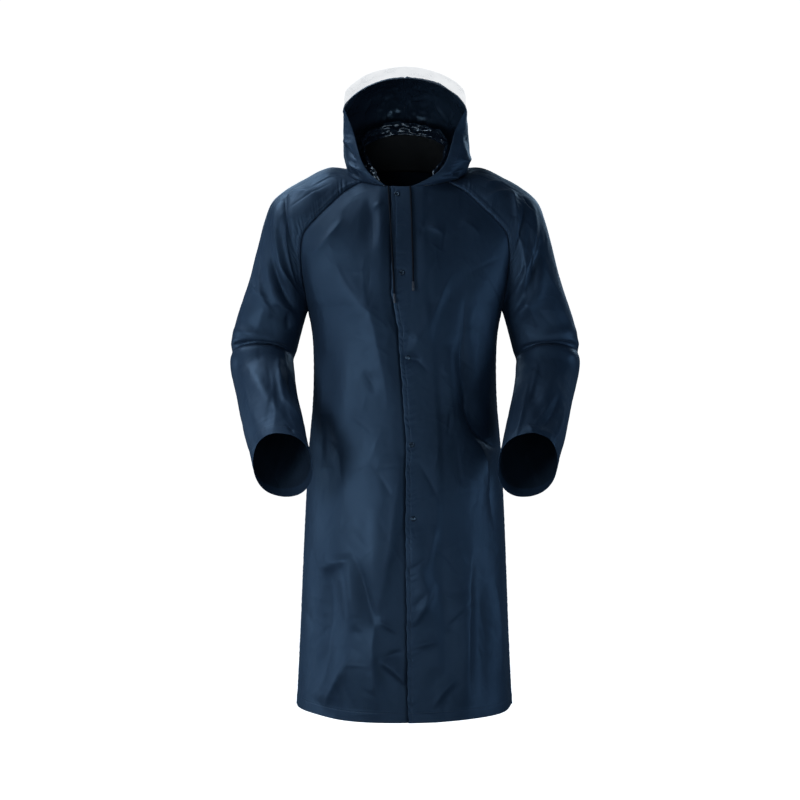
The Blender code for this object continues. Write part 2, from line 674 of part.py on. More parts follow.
def visor_skins():
    """The clear crescent: it starts at the hood's edge, from corner to corner over the crown."""
    crown_y, crown_z, side_x, side_y, side_z, _, _, fullness = HOOD[0]
    outer, inner = [], []
    for row in range(VISOR_ROWS):
        out = row / (VISOR_ROWS - 1)
        top, under = [], []
        for column in range(VISOR_COLUMNS):
            across = 2.0 * column / (VISOR_COLUMNS - 1) - 1.0
            turn = math.radians(VISOR_HALF_TURN) * across
            x = side_x * math.sin(turn)
            y = side_y + (crown_y - side_y) * math.cos(turn) - 0.05
            z = side_z + (crown_z - side_z) * math.cos(turn) ** fullness
            end = smooth((1.0 - abs(across)) / VISOR_TAPER)
            reach = VISOR_ROOT + VISOR_REACH * (0.55 + 0.45 * math.cos(turn)) * end
            lean = np.array((0.25 * math.sin(turn), -0.94, 0.30))
            point = (np.array((x, y, z)) + lean * reach * out) * CM
            through = np.array((0.6 * math.sin(turn), 0.30, 0.94))
            through /= np.linalg.norm(through)
            top.append(point)
            under.append(point - through * VISOR_WALL)
        outer.append(top)
        inner.append(under)
    return outer, inner


def cone(sides, radius, end_radius, length):
    mesh = bmesh.new()
    bmesh.ops.create_cone(
        mesh, cap_ends=True, segments=sides, radius1=radius, radius2=end_radius, depth=length
    )
    return mesh


def snap(name, z):
    """A cap that rests on the highest point of the cloth under it."""
    cloth = bpy.data.objects["front_left"]
    ahead = Vector((0.0, 1.0, 0.0))
    _, snap_x = closure(z)
    _, spot, normal, _ = cloth.ray_cast(Vector((snap_x * CM, -0.5, z * CM)), ahead)
    turn = Vector((0.0, 0.0, 1.0)).rotation_difference(normal).to_matrix()
    lift = 0.0
    for step in range(12):
        around = math.tau * step / 12
        rim = turn @ Vector((math.cos(around), math.sin(around), 0.0)) * SNAP_RADIUS
        found, under, _, _ = cloth.ray_cast(spot + rim + normal * 0.01, -normal)
        if found:
            lift = max(lift, (under - spot).dot(normal))
    made = add(name, cone(16, SNAP_RADIUS, SNAP_RADIUS * SNAP_TAPER, SNAP_THICKNESS), METAL)
    centre = spot + normal * (lift + SNAP_THICKNESS / 2.0 + SNAP_SEAT)
    made.matrix_world = Matrix.Translation(centre) @ turn.to_4x4()


def drawcord(side_name):
    route = np.array(CORD_ROUTES[side_name]) * CM
    last = len(route) - 1
    points = [read(route, last * step / (CORD_POINTS - 1)) for step in range(CORD_POINTS)]
    line = bpy.data.curves.new("drawcord_" + side_name, "CURVE")
    line.dimensions = "3D"
    line.bevel_depth = CORD_DIAMETER / 2.0
    line.bevel_resolution = 2
    line.use_fill_caps = True
    spline = line.splines.new("POLY")
    spline.points.add(len(points) - 1)
    for knot, point in zip(spline.points, points):
        knot.co = (*point, 1.0)
    line.materials.append(CORD)
    made = bpy.data.objects.new("drawcord_" + side_name, line)
    coat.objects.link(made)
    end = Vector(points[-1])
    way = (end - Vector(points[-2])).normalized()
    tip = add("cord_tip_" + side_name, cone(12, TIP_RADIUS, TIP_RADIUS * TIP_TAPER, TIP_LENGTH), TIP)
    turn = Vector((0.0, 0.0, 1.0)).rotation_difference(way).to_matrix().to_4x4()
    tip.matrix_world = Matrix.Translation(end + way * (TIP_LENGTH / 2.0 + TIP_GAP)) @ turn


for side, side_name in ((1, "left"), (-1, "right")):
    wall("front_" + side_name, *front_skins(side), SHELL)
    wall("sleeve_" + side_name, *sleeve_skins(side), SHELL, joined_from=YOKE_STEPS)
    wall("hood_" + side_name, *hood_skins(side), SHELL)
wall("back", *back_skins(), SHELL)
wall("neck_band", *neck_band_skins(), SHELL)
wall("visor", *visor_skins(), VISOR)
bpy.context.view_layer.update()
for number, level in enumerate(SNAP_LEVELS, 1):
    snap(f"snap_{number}", level)
for side_name in CORD_ROUTES:
    drawcord(side_name)
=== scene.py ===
import math

import bmesh
import bpy
import numpy as np
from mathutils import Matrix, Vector, noise
from mathutils.bvhtree import BVHTree


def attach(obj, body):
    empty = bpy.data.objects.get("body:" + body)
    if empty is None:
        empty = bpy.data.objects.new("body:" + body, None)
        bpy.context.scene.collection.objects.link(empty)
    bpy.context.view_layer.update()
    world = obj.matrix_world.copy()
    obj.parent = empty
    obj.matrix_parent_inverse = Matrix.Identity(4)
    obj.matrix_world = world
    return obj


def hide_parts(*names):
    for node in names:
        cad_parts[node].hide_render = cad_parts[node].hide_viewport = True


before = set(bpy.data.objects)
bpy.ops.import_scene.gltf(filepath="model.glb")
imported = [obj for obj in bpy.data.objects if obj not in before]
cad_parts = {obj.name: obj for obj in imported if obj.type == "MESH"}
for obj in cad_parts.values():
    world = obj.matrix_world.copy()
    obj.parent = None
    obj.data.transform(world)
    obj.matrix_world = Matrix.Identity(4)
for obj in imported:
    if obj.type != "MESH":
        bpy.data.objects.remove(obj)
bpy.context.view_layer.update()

# Back panel: one piece of coated nylon, cut from the neck to the hem between the two back raglan seams
# and the side seams. It hangs from the shoulders in soft folds that deepen towards the hem. Its seams
# are turned in and sewn down with two rows, and the hem is turned up once.
CM = 0.01
MM = 0.001
CLOTH_THICKNESS = 0.8 * MM
NECK_HALF_WIDTH = 11.5
NECK_FRONT_Y, NECK_FRONT_Z = -10.5, -4.4
NECK_SIDE_Z = -0.6
NECK_BACK_Y, NECK_BACK_Z = 8.8, 2.3

# Rows of the body in centimetres: seam x, y, z; middle y, z; turn of the cloth between middle and seam.
BACK_YOKE = [
    (8.41, 6.00, 1.38, 8.8, 2.3, 47.0),
    (12.6, 7.8, -1.0, 10.1, -0.6, 52.0),
    (16.6, 9.0, -4.8, 11.4, -4.0, 57.0),
    (20.2, 9.6, -9.2, 12.6, -8.4, 62.0),
    (22.3, 9.4, -13.6, 13.7, -12.8, 68.0),
    (22.9, 8.4, -18.4, 14.6, -17.8, 74.0),
    (22.7, 6.4, -23.4, 15.2, -23.0, 80.0),
    (22.1, 3.7, -28.0, 15.5, -27.8, 86.0),
    (21.7, 0.3, -30.9, 15.6, -30.9, 90.0),
]
UNDERARM = len(BACK_YOKE) - 1
# Levels below the underarm: z, half width, front y, back y.
SKIRT = [
    (-35.5, 20.75, -16.5, 15.3),
    (-42.0, 20.35, -16.4, 15.0),
    (-51.0, 20.5, -16.6, 15.0),
    (-62.0, 21.4, -17.2, 15.5),
    (-73.5, 22.05, -17.9, 16.3),
    (-88.0, 22.7, -18.6, 17.3),
    (-103.0, 23.3, -19.3, 18.2),
    (-120.0, 24.1, -20.0, 19.0),
]
HEM_RISE = 0.9
SIDE_SEAM_Y = 0.3
HEM_WAVES = [(3, 0.6, 0.35), (5, 2.1, 0.40), (8, 4.0, 0.20)]
WAVE_TOP_Z, WAVE_FULL_Z = -55.0, -115.0
# Folds: from x, z to x, z; half width; height, below nothing for a trough; then, where its line is bent
# or one flank is wider than the other, the bend of its middle and the lean of its crest.
BACK_FOLDS = [
    (-14.0, -12.0, -7.0, -33.0, 2.6, 0.5, 0.6),
    (13.5, -13.0, 7.5, -34.0, 2.6, 0.5, -0.6),
    (0.0, -14.0, 0.6, -40.0, 3.0, -0.5, 0.4),
    (-11.0, -42.0, -12.5, -70.0, 2.6, -0.6, 0.8),
    (10.5, -40.0, 12.0, -68.0, 2.6, -0.6, -0.7),
    (-5.0, -52.0, -6.5, -84.0, 2.8, 0.6, 0.5),
    (5.5, -56.0, 6.0, -88.0, 2.8, 0.6, -0.5),
    (-13.5, -80.0, -15.5, -119.0, 2.5, 0.9, 0.7),
    (-9.0, -84.0, -10.0, -119.0, 2.5, -0.8, 0.4),
    (-1.0, -78.0, -1.5, -119.0, 2.6, 0.7, 0.6),
    (4.0, -92.0, 4.6, -119.0, 2.2, -0.7, -0.4),
    (13.0, -82.0, 14.0, -119.0, 2.6, 0.8, 0.5),
]
BACK_CREASES = [
    (-18.0, -20.0, -11.0, -27.0, 1.3, 0.45, 0.5, 0.3),
    (17.5, -19.0, 11.5, -29.0, 1.2, 0.45, -0.6, -0.3),
    (-18.5, -34.0, -9.0, -43.0, 1.2, -0.35, 0.6),
    (18.0, -33.0, 8.0, -45.0, 1.2, -0.35, -0.7),
    (-4.0, -8.0, -9.0, -19.0, 1.0, 0.3, 0.4, 0.3),
    (5.0, -7.0, 8.5, -18.0, 1.0, 0.3, -0.4, -0.3),
    (8.0, -72.0, 14.5, -90.0, 1.4, 0.4, 0.8, 0.4),
    (-2.5, -95.0, -7.5, -112.0, 1.2, 0.4, -0.6, 0.3),
    (-14.0, -58.0, -6.0, -64.0, 1.1, 0.3, 0.5, 0.3),
    (2.0, -47.0, 12.5, -53.0, 1.1, -0.3, 0.6),
    (16.5, -60.0, 17.5, -84.0, 1.6, 0.45, 0.6, 0.3),
    (-17.5, -66.0, -18.0, -84.0, 1.6, -0.45, 0.5),
]
FOLD_DEPTH = 1.2
BODY_SEAM_FADE, SLEEVE_SEAM_FADE, NECK_FADE = 0.14, 0.12, 1.6
CREASE_CRISPNESS, CREASE_DEPTH = 1.2, 1.5
# Soft dents all over the cloth: their size in metres and height in millimetres. They fade beside a seam.
CRUMPLES = [(0.060, 0.75), (0.024, 0.5), (0.011, 0.25)]
CRUMPLE_FADE = 0.02
# Strewn creases, in centimetres: length each way, half width, height; then bend, lean and spread in degrees.
STREWN_REACH, STREWN_HALF_WIDTH, STREWN_PEAK = (1.2, 5.5), (0.28, 0.75), (0.03, 0.08)
STREWN_BEND, STREWN_LEAN, STREWN_SPREAD = (-0.5, 0.5), (-0.4, 0.4), 34.0
BACK_STREWN, BODY_STREWN_X, BODY_STREWN_Z = 110, (-22.0, 22.0), (-116.0, -4.0)
# Rows and columns of the back's grid, and how many rows its seams take to turn from raglan to side.
BACK_GRID = (310, 100)
UNDERARM_BLEND = 0.3
# Puckers beside a seam, in metres: from one to the next, height, and how far they reach.
BACK_PUCKERS = (0.013, 0.35 * MM, 0.016)

# How a sewn edge stands: the cloth dives into the seam, and rises over folded layers between its stitches.
SEAM_DITCH, SEAM_DITCH_WIDTH = 1.3 * MM, 1.6 * MM
# Beside a seam both panels move the same way: mostly to the front or back, with this share of sideways.
JOIN_REACH, JOIN_SIDEWAYS = 2.5 * MM, 0.2
FELL_WIDTH, RAGLAN_FELL_WIDTH, FELL_HEIGHT = 8.0 * MM, 12.0 * MM, 1.4 * MM
HEM_WIDTH, HEM_HEIGHT = 24.0 * MM, 0.7 * MM
STITCH_SINK, STITCH_SINK_WIDTH = 0.7 * MM, 0.9 * MM
FELL_STITCHES, RAGLAN_STITCHES = (1.8 * MM, 6.6 * MM), (1.8 * MM, 10.6 * MM)
HEM_STITCHES = (21.5 * MM,)
SEAM_STEPS = np.array((0.0, 0.8, 1.8, 3.0, 4.2, 5.4, 6.6, 7.8, 9.0, 11.0, 14.0)) * MM
HEM_STEPS = np.array((0.0, 0.8, 3.0, 8.0, 14.0, 18.5, 20.5, 21.5, 22.5, 24.0, 26.0, 29.0)) * MM
PLAIN_STEPS = np.array((0.0,))
# How many points a panel's rows, and a line down it, are measured at.
ROW_SAMPLES, DOWN_SAMPLES = 80, 240


def smooth(value):
    """A soft step from 0 at 0 to 1 at 1."""
    value = np.clip(value, 0.0, 1.0)
    return value * value * (3.0 - 2.0 * value)


def read(table, place):
    """Every column of a table at a row number that may lie between two rows."""
    rows = np.asarray(table, float)
    last = len(rows) - 1
    place = min(max(place, 0.0), float(last))
    row = min(int(place), last - 1)
    u = place - row
    before, start, end, after = (rows[min(max(row + step, 0), last)] for step in (-1, 0, 1, 2))
    bend = 2.0 * before - 5.0 * start + 4.0 * end - after
    twist = 3.0 * (start - end) + after - before
    return start + 0.5 * u * ((end - before) + u * (bend + u * twist))


def relief(folds, across, along, crispness=2.0, scale=(1.0, 1.0)):
    """The height of a list of folds over the cloth, in centimetres. Low crispness makes sharp crests."""
    height = np.zeros(np.shape(across))
    for a0, b0, a1, b1, half_width, peak, *shape in folds:
        bend, lean = (*shape, 0.0, 0.0)[:2]
        a0, a1, b0, b1 = a0 * scale[0], a1 * scale[0], b0 * scale[1], b1 * scale[1]
        run = np.array((a1 - a0, b1 - b0))
        length = np.hypot(*run)
        forward = ((across * scale[0] - a0) * run[0] + (along * scale[1] - b0) * run[1]) / length
        sideways = ((along * scale[1] - b0) * run[0] - (across * scale[0] - a0) * run[1]) / length
        share = np.clip(forward / length, 0.0, 1.0)
        sideways = sideways - bend * np.sin(math.pi * share)
        width = half_width * (1.0 + lean * np.tanh(2.0 * sideways / half_width))
        away = np.hypot(sideways, forward - share * length) / width
        height += peak * np.sin(math.pi * share) * np.exp(-(away**crispness))
    return height


def strewn(seed, count, across, along, scale=(1.0, 1.0), slant=0.0):
    """Small creases strewn over a stretch of cloth, in folds as relief() reads them, most of them running down."""
    draw = np.random.default_rng(seed)
    folds = []
    for _ in range(count):
        a, b = draw.uniform(*across) * scale[0], draw.uniform(*along) * scale[1]
        turn = math.radians(slant + draw.normal(0.0, STREWN_SPREAD))
        reach = draw.uniform(*STREWN_REACH)
        a_reach, b_reach = math.sin(turn) * reach, math.cos(turn) * reach
        ends = (
            (a - a_reach) / scale[0], (b + b_reach) / scale[1], (a + a_reach) / scale[0], (b - b_reach) / scale[1]
        )
        peak = draw.uniform(*STREWN_PEAK) * draw.choice((-1.0, 1.0))
        half_width, bend, lean = (
            draw.uniform(*limits) for limits in (STREWN_HALF_WIDTH, STREWN_BEND, STREWN_LEAN)
        )
        folds.append((*ends, half_width, peak, bend, lean))
    return folds


def body_row(rows, place):
    """The yoke and the skirt are smooth by themselves and meet at the underarm."""
    if place < UNDERARM:
        return read(rows[: UNDERARM + 1], place)
    return read(rows[UNDERARM:], place - UNDERARM)


def body_rows(yoke, middle_column):
    """The yoke's rows with the skirt's below them. The hem is cut a little higher at the sides."""
    rows = list(yoke)
    for level in SKIRT:
        z, half_width = level[:2]
        rise = HEM_RISE * max(0.0, (SKIRT[-2][0] - z) / (SKIRT[-2][0] - SKIRT[-1][0]))
        rows.append((half_width, SIDE_SEAM_Y, z + rise, level[middle_column], z, 90.0))
    return rows


def body(rows):
    """A function for the points of a body row, at shares of the way from the middle to the +X seam."""

    def line(place, shares):
        seam_x, seam_y, seam_z, middle_y, middle_z, turn = body_row(rows, place)
        turn = math.radians(turn)
        swing = (1.0 - np.cos(shares * turn)) / (1.0 - math.cos(turn))
        x = seam_x * np.sin(shares * turn) / math.sin(turn)
        y = middle_y + (seam_y - middle_y) * swing
        z = middle_z + (seam_z - middle_z) * swing
        angle = shares * turn if middle_y < 0.0 else math.pi - shares * turn
        depth = smooth((WAVE_TOP_Z - z) / (WAVE_TOP_Z - WAVE_FULL_Z))
        high = sum(peak * np.cos(count * angle + phase) for count, phase, peak in HEM_WAVES)
        wave = 1.0 + depth * high / SKIRT[-1][1]
        return np.stack((x * wave, y * wave, z), -1) * CM

    return line


def run_length(points):
    """How far along a row of points each one lies."""
    return np.concatenate(([0.0], np.cumsum(np.linalg.norm(np.diff(points, axis=0), axis=1))))


def spread(length, count, start, end):
    """Distances from one edge of a panel to the other, close together where it is sewn."""
    inner = np.linspace(start[-1], length - end[-1], count)
    return np.concatenate((start[:-1], inner, length - end[-2::-1]))


def level_places(line, share, first, last, count, start=SEAM_STEPS, end=SEAM_STEPS):
    """Row numbers that lie evenly down a panel, measured along one share of its rows."""
    places = np.linspace(first, last, DOWN_SAMPLES)
    run = run_length(np.array([line(place, np.array([share]))[0] for place in places]))
    return np.interp(spread(run[-1], count, start, end), run, places)


def lay_out(line, limits, places, columns, start=SEAM_STEPS, end=SEAM_STEPS):
    """The grid of a panel's points, and the share of its row that each one has.

    "limits" is the first and last share of a row, or a function of the row that gives them.
    """
    grid, shares = [], []
    for place in places:
        first, last = limits(place) if callable(limits) else limits
        rough = np.linspace(first, last, ROW_SAMPLES)
        run = run_length(line(place, rough))
        shares.append(np.interp(spread(run[-1], columns, start, end), run, rough))
        grid.append(line(place, shares[-1]))
    return np.array(grid), np.array(shares)


def normals_of(grid, centre, closed_from=None):
    """Unit normals over a grid of points, pointing away from a centre line or point."""
    normals = np.cross(np.gradient(grid, axis=0), np.gradient(grid, axis=1))
    if closed_from is not None:
        ends = normals[closed_from:, 0] + normals[closed_from:, -1]
        normals[closed_from:, 0] = normals[closed_from:, -1] = ends
    normals /= np.maximum(np.linalg.norm(normals, axis=2, keepdims=True), 1e-12)
    return normals if np.sum(normals * (grid - centre)) > 0.0 else -normals


def upright(grid):
    """The line up the middle of the coat, level with each point."""
    return grid * (0.0, 0.0, 1.0)


def joined(normals, grid, distance, share=1.0):
    """The normals turned, beside a seam, to a direction that both of its panels share."""
    ways = grid * (JOIN_SIDEWAYS, 1.0, 0.0)
    ways /= np.linalg.norm(ways, axis=2, keepdims=True)
    near = (np.exp(-((distance / JOIN_REACH) ** 2)) * share)[..., None]
    return normals + (ways - normals) * near


def edge_distances(grid):
    """Distances from the first and last column and the first and last row, over the cloth."""
    across = np.zeros(grid.shape[:2])
    across[:, 1:] = np.cumsum(np.linalg.norm(np.diff(grid, axis=1), axis=2), axis=1)
    down = np.zeros(grid.shape[:2])
    down[1:] = np.cumsum(np.linalg.norm(np.diff(grid, axis=0), axis=2), axis=0)
    return across, across[:, -1:] - across, down, down[-1:] - down


def sunk(distance, rows):
    """The thread pulls the cloth down along rows of stitches."""
    return -STITCH_SINK * sum(np.exp(-(((distance - row) / STITCH_SINK_WIDTH) ** 2)) for row in rows)


def ditched(distance):
    """The cloth dives into the seam at its edge."""
    return -SEAM_DITCH * np.exp(-((distance / SEAM_DITCH_WIDTH) ** 2))


def felled(distance, width=FELL_WIDTH, stitches=FELL_STITCHES):
    """A seam turned in on itself and sewn down with two rows."""
    band = smooth((width + 0.8 * MM - distance) / (1.6 * MM)) * FELL_HEIGHT
    return ditched(distance) + band * smooth(distance / (1.5 * MM)) + sunk(distance, stitches)


def doubled(distance, width):
    """Whether the cloth is doubled beside an edge, as a share that falls softly past the fold's width."""
    return smooth((width + 1.0 * MM - distance) / (2.5 * MM))


def hemmed(distance):
    """A hem turned up once and sewn down along its upper edge."""
    return doubled(distance, HEM_WIDTH) * HEM_HEIGHT + sunk(distance, HEM_STITCHES)


def gathered(distance, run, pitch, height, reach):
    """Short ridges across a seam, where the thread has drawn the cloth together unevenly.

    Three sine waves that never fall in step make the ridges' spacing and height uneven.
    """
    place = (run + 0.5 * distance) / pitch
    uneven = np.sin(math.tau * place + 1.9 * np.sin(1.7 * place) + 1.1 * np.sin(3.1 * place + 0.7))
    strength = 0.65 + 0.35 * np.sin(0.9 * place + 2.0)
    return height * uneven * strength * np.exp(-((distance / reach) ** 2)) * smooth(distance / (1.2 * MM))


def crumpled(grid, scales=CRUMPLES, stretch=(1.0, 1.0, 0.55)):
    """Soft dents all over the cloth, by default longer down the coat than across it."""
    stretch = Vector(stretch)
    heights = np.zeros(grid.shape[0] * grid.shape[1])
    for size, height in scales:
        for index, point in enumerate(grid.reshape(-1, 3)):
            heights[index] += noise.noise(Vector(point) * stretch / size) * height * MM
    return heights.reshape(grid.shape[:2])


def linked(name, data):
    """A new object in the scene."""
    made = bpy.data.objects.new(name, data)
    bpy.context.scene.collection.objects.link(made)
    return made


def baked(piece):
    """The piece with its modifiers turned into plain mesh."""
    evaluated = piece.evaluated_get(bpy.context.evaluated_depsgraph_get())
    mesh = bpy.data.meshes.new_from_object(evaluated)
    mesh.name = piece.name
    piece.modifiers.clear()
    piece.data = mesh
    return piece


def panel_mesh(name, grid, normals, seam, turned, finishes, closed_from=None, thickness=CLOTH_THICKNESS):
    """A thin sheet over a grid, with the flat cloth in metres as its UV map.

    "seam" is the way to the nearest sewn edge. Where turned is true the cloth is doubled inwards, so that
    its outer side shows inside too. The finishes are those of the outer and the inner side.
    """
    rows, columns = grid.shape[:2]
    index = np.arange(rows * columns).reshape(rows, columns)
    if closed_from is not None:
        index[closed_from:, -1] = index[closed_from:, 0]
    used, packed = np.unique(index, return_inverse=True)
    packed = packed.reshape(rows, columns)
    corners = [(slice(0, -1), slice(0, -1)), (slice(1, None), slice(0, -1))]
    corners += [(slice(1, None), slice(1, None)), (slice(0, -1), slice(1, None))]
    middle = grid[rows // 2, columns // 2]
    down, beyond = grid[rows // 2 + 1, columns // 2] - middle, grid[rows // 2, columns // 2 + 1] - middle
    if np.dot(np.cross(down, beyond), normals[rows // 2, columns // 2]) < 0.0:
        corners.reverse()
    across, _, below, _ = edge_distances(grid)
    flat = np.stack((across - across[:, -1:] / 2.0, -below), -1)
    faces = np.stack([packed[corner] for corner in corners], -1).reshape(-1, 4)
    mesh = bpy.data.meshes.new(name)
    mesh.from_pydata(grid.reshape(-1, 3)[used].tolist(), [], faces.tolist())
    uv = np.stack([flat[corner] for corner in corners], 2).reshape(-1, 2)
    mesh.uv_layers.new(name="cloth").data.foreach_set("uv", uv.astype(np.float32).ravel())
    for label, values in (("seam", seam), ("turned", turned)):
        values = np.broadcast_to(values, grid.shape[:2]).ravel()[used]
        mesh.attributes.new(label, "FLOAT", "POINT").data.foreach_set("value", values.astype(np.float32))
    for finish in finishes:
        mesh.materials.append(finish)
    mesh.shade_smooth()
    piece = linked(name, mesh)
    shell = piece.modifiers.new("thickness", "SOLIDIFY")
    shell.thickness = thickness
    shell.offset = -1.0
    shell.use_rim = True
    shell.material_offset = len(finishes) - 1
    baked(piece)
    turned_in = np.zeros(len(piece.data.vertices), np.float32)
    piece.data.attributes["turned"].data.foreach_get("value", turned_in)
    for face in piece.data.polygons:
        if face.material_index and turned_in[list(face.vertices)].mean() > 0.5:
            face.material_index = 0
    piece.data.attributes.remove(piece.data.attributes["turned"])
    return piece


def flat_size(grid):
    """The cloth's width and length as cut, and its area."""
    across, _, down, _ = edge_distances(grid)
    near = np.cross(grid[1:, :-1] - grid[:-1, :-1], grid[:-1, 1:] - grid[:-1, :-1])
    far = np.cross(grid[1:, :-1] - grid[1:, 1:], grid[:-1, 1:] - grid[1:, 1:])
    area = (np.linalg.norm(near, axis=2).sum() + np.linalg.norm(far, axis=2).sum()) / 2.0
    return (float(across[:, -1].max()), float(down[-1].max())), float(area)


def beside(grid, normals, edge, distance, rows=slice(None), inside=False):
    """A line on the cloth at one distance from an edge, with the cloth's normals along it."""
    grid, normals = grid[rows], normals[rows]
    if edge in ("top", "bottom"):
        grid, normals = grid.swapaxes(0, 1), normals.swapaxes(0, 1)
    if edge in ("end", "bottom"):
        grid, normals = grid[:, ::-1], normals[:, ::-1]
    points, ups = [], []
    for row, up in zip(grid, normals):
        run = run_length(row)
        place = float(np.interp(distance, run, np.arange(len(run))))
        low = min(int(place), len(run) - 2)
        points.append(row[low] + (row[low + 1] - row[low]) * (place - low))
        ups.append(up[low] + (up[low + 1] - up[low]) * (place - low))
    points, ups = np.array(points), np.array(ups)
    return (points - ups * CLOTH_THICKNESS, -ups) if inside else (points, ups)


# The coated nylon: threads under a smooth coating, creases that stay from folding, gathers at the seams.
FLOAT, VECTOR, GEOMETRY = "NodeSocketFloat", "NodeSocketVector", "NodeSocketGeometry"


def shared_group(name, inputs, outputs, kind="ShaderNodeTree"):
    """A node group with named sockets, and its input and output nodes."""
    tree = bpy.data.node_groups.new(name, kind)
    for label, socket_type, value in inputs:
        socket = tree.interface.new_socket(name=label, in_out="INPUT", socket_type=socket_type)
        if value is not None:
            socket.default_value = value
    for label, socket_type in outputs:
        tree.interface.new_socket(name=label, in_out="OUTPUT", socket_type=socket_type)
    return tree, tree.nodes.new("NodeGroupInput"), tree.nodes.new("NodeGroupOutput")


def feed(tree, value, socket):
    """Link a socket to another, or set its constant."""
    if isinstance(value, bpy.types.NodeSocket):
        tree.links.new(value, socket)
    elif value is not None:
        socket.default_value = value


def node(tree, kind, inputs=(), **settings):
    """A node with its properties set, and its inputs fed by name or number."""
    made = tree.nodes.new(kind)
    for key, value in settings.items():
        setattr(made, key, value)
    for key, value in dict(inputs).items():
        feed(tree, value, made.inputs[key])
    return made


def shared(tree, group, inputs):
    """A shared group in a material's tree."""
    return node(tree, "ShaderNodeGroup", inputs, node_tree=group)


def maths(tree, operation, *values):
    made = tree.nodes.new("ShaderNodeMath")
    made.operation = operation
    for socket, value in zip(made.inputs, values):
        feed(tree, value, socket)
    return made.outputs[0]


def mixed(tree, share, first, second):
    """A colour between two others, which are RGB triples or sockets."""
    made = node(tree, "ShaderNodeMix", {"Factor": share}, data_type="RGBA")
    for label, value in (("A", first), ("B", second)):
        socket = next(s for s in made.inputs if s.name == label and s.type == "RGBA")
        feed(tree, value if isinstance(value, bpy.types.NodeSocket) else (*value, 1.0), socket)
    return next(s for s in made.outputs if s.type == "RGBA")


def ranged(tree, value, low, high, start=0.0, end=1.0):
    limits = {"Value": value, "From Min": start, "From Max": end, "To Min": low, "To Max": high}
    return node(tree, "ShaderNodeMapRange", limits).outputs["Result"]


def bumped(tree, height, distance, strength=1.0, below=None):
    limits = {"Height": height, "Distance": distance, "Strength": strength, "Normal": below}
    return node(tree, "ShaderNodeBump", limits).outputs["Normal"]


def finish_of(name, roughness, **constants):
    """A material with its Principled shader. Plain sockets are set here, by name."""
    made = bpy.data.materials.new(name)
    made.use_nodes = True
    shader = made.node_tree.nodes["Principled BSDF"]
    shader.inputs["Roughness"].default_value = roughness
    for label, value in constants.items():
        shader.inputs[label.replace("_", " ")].default_value = value
    return made, made.node_tree, shader.inputs


# Plain weave: threads that pass over and under each other.
weave, weave_in, weave_out = shared_group(
    "plain weave", [("Vector", VECTOR, None), ("Threads per Metre", FLOAT, 2600.0)], [("Height", FLOAT)]
)
weave_scale = node(
    weave, "ShaderNodeVectorMath",
    {0: weave_in.outputs["Vector"], "Scale": weave_in.outputs["Threads per Metre"]}, operation="SCALE",
)
weave_split = node(weave, "ShaderNodeSeparateXYZ", {0: weave_scale.outputs[0]})
warp, weft = (maths(weave, "SINE", maths(weave, "MULTIPLY", weave_split.outputs[axis], math.pi)) for axis in "XY")
feed(weave, maths(weave, "MULTIPLY", warp, weft), weave_out.inputs["Height"])

# Crumple: thin branching creases where the noise crosses its middle, and broad worn patches.
crumple, crumple_in, crumple_out = shared_group(
    "crumple",
    [("Vector", VECTOR, None), ("Scale", FLOAT, 14.0), ("Sharpness", FLOAT, 3.4)],
    [("Height", FLOAT), ("Patches", FLOAT)],
)
crumple_place = crumple_in.outputs["Vector"]
crumple_bend = node(crumple, "ShaderNodeTexNoise", {"Vector": crumple_place, "Scale": 5.0})
crumple_shift = node(
    crumple, "ShaderNodeVectorMath", {0: crumple_bend.outputs["Color"], 1: (0.16, 0.16, 0.16), 2: crumple_place},
    operation="MULTIPLY_ADD",
)
crumple_noise = node(
    crumple, "ShaderNodeTexNoise",
    {"Vector": crumple_shift.outputs[0], "Scale": crumple_in.outputs["Scale"], "Detail": 2.0, "Roughness": 0.45},
)
crumple_away = maths(crumple, "ABSOLUTE", maths(crumple, "SUBTRACT", crumple_noise.outputs["Fac"], 0.5))
crumple_fall = maths(crumple, "MULTIPLY", crumple_away, crumple_in.outputs["Sharpness"])
feed(
    crumple, maths(crumple, "MAXIMUM", maths(crumple, "SUBTRACT", 1.0, crumple_fall), 0.0), crumple_out.inputs["Height"]
)
crumple_patch = node(crumple, "ShaderNodeTexNoise", {"Vector": crumple_place, "Scale": 6.0, "Detail": 3.0})
feed(crumple, crumple_patch.outputs["Fac"], crumple_out.inputs["Patches"])

# Pucker: small gathers beside a sewn edge.
pucker, pucker_in, pucker_out = shared_group(
    "pucker",
    [("Vector", VECTOR, None), ("Distance", FLOAT, 1.0), ("Reach", FLOAT, 0.011), ("Scale", FLOAT, 90.0)],
    [("Height", FLOAT), ("Nearness", FLOAT)],
)
pucker_noise = node(
    pucker, "ShaderNodeTexNoise", {"Vector": pucker_in.outputs["Vector"], "Scale": pucker_in.outputs["Scale"]}
)
pucker_share = maths(pucker, "DIVIDE", pucker_in.outputs["Distance"], pucker_in.outputs["Reach"])
pucker_near = maths(
    pucker, "EXPONENT", maths(pucker, "MULTIPLY", maths(pucker, "MULTIPLY", pucker_share, pucker_share), -1.0)
)
feed(pucker, maths(pucker, "MULTIPLY", pucker_noise.outputs["Fac"], pucker_near), pucker_out.inputs["Height"])
feed(pucker, pucker_near, pucker_out.inputs["Nearness"])


# The noise values between which the patches go from deep to light, how much lighter a rubbed edge is and
# how much of it shows, and the height of a pucker.
PATCH_RANGE = (0.35, 0.68)
RUBBED_LIGHTER, RUBBED_SHARE = 3.5, 0.10
PUCKER_HEIGHT = 1.1 * MM


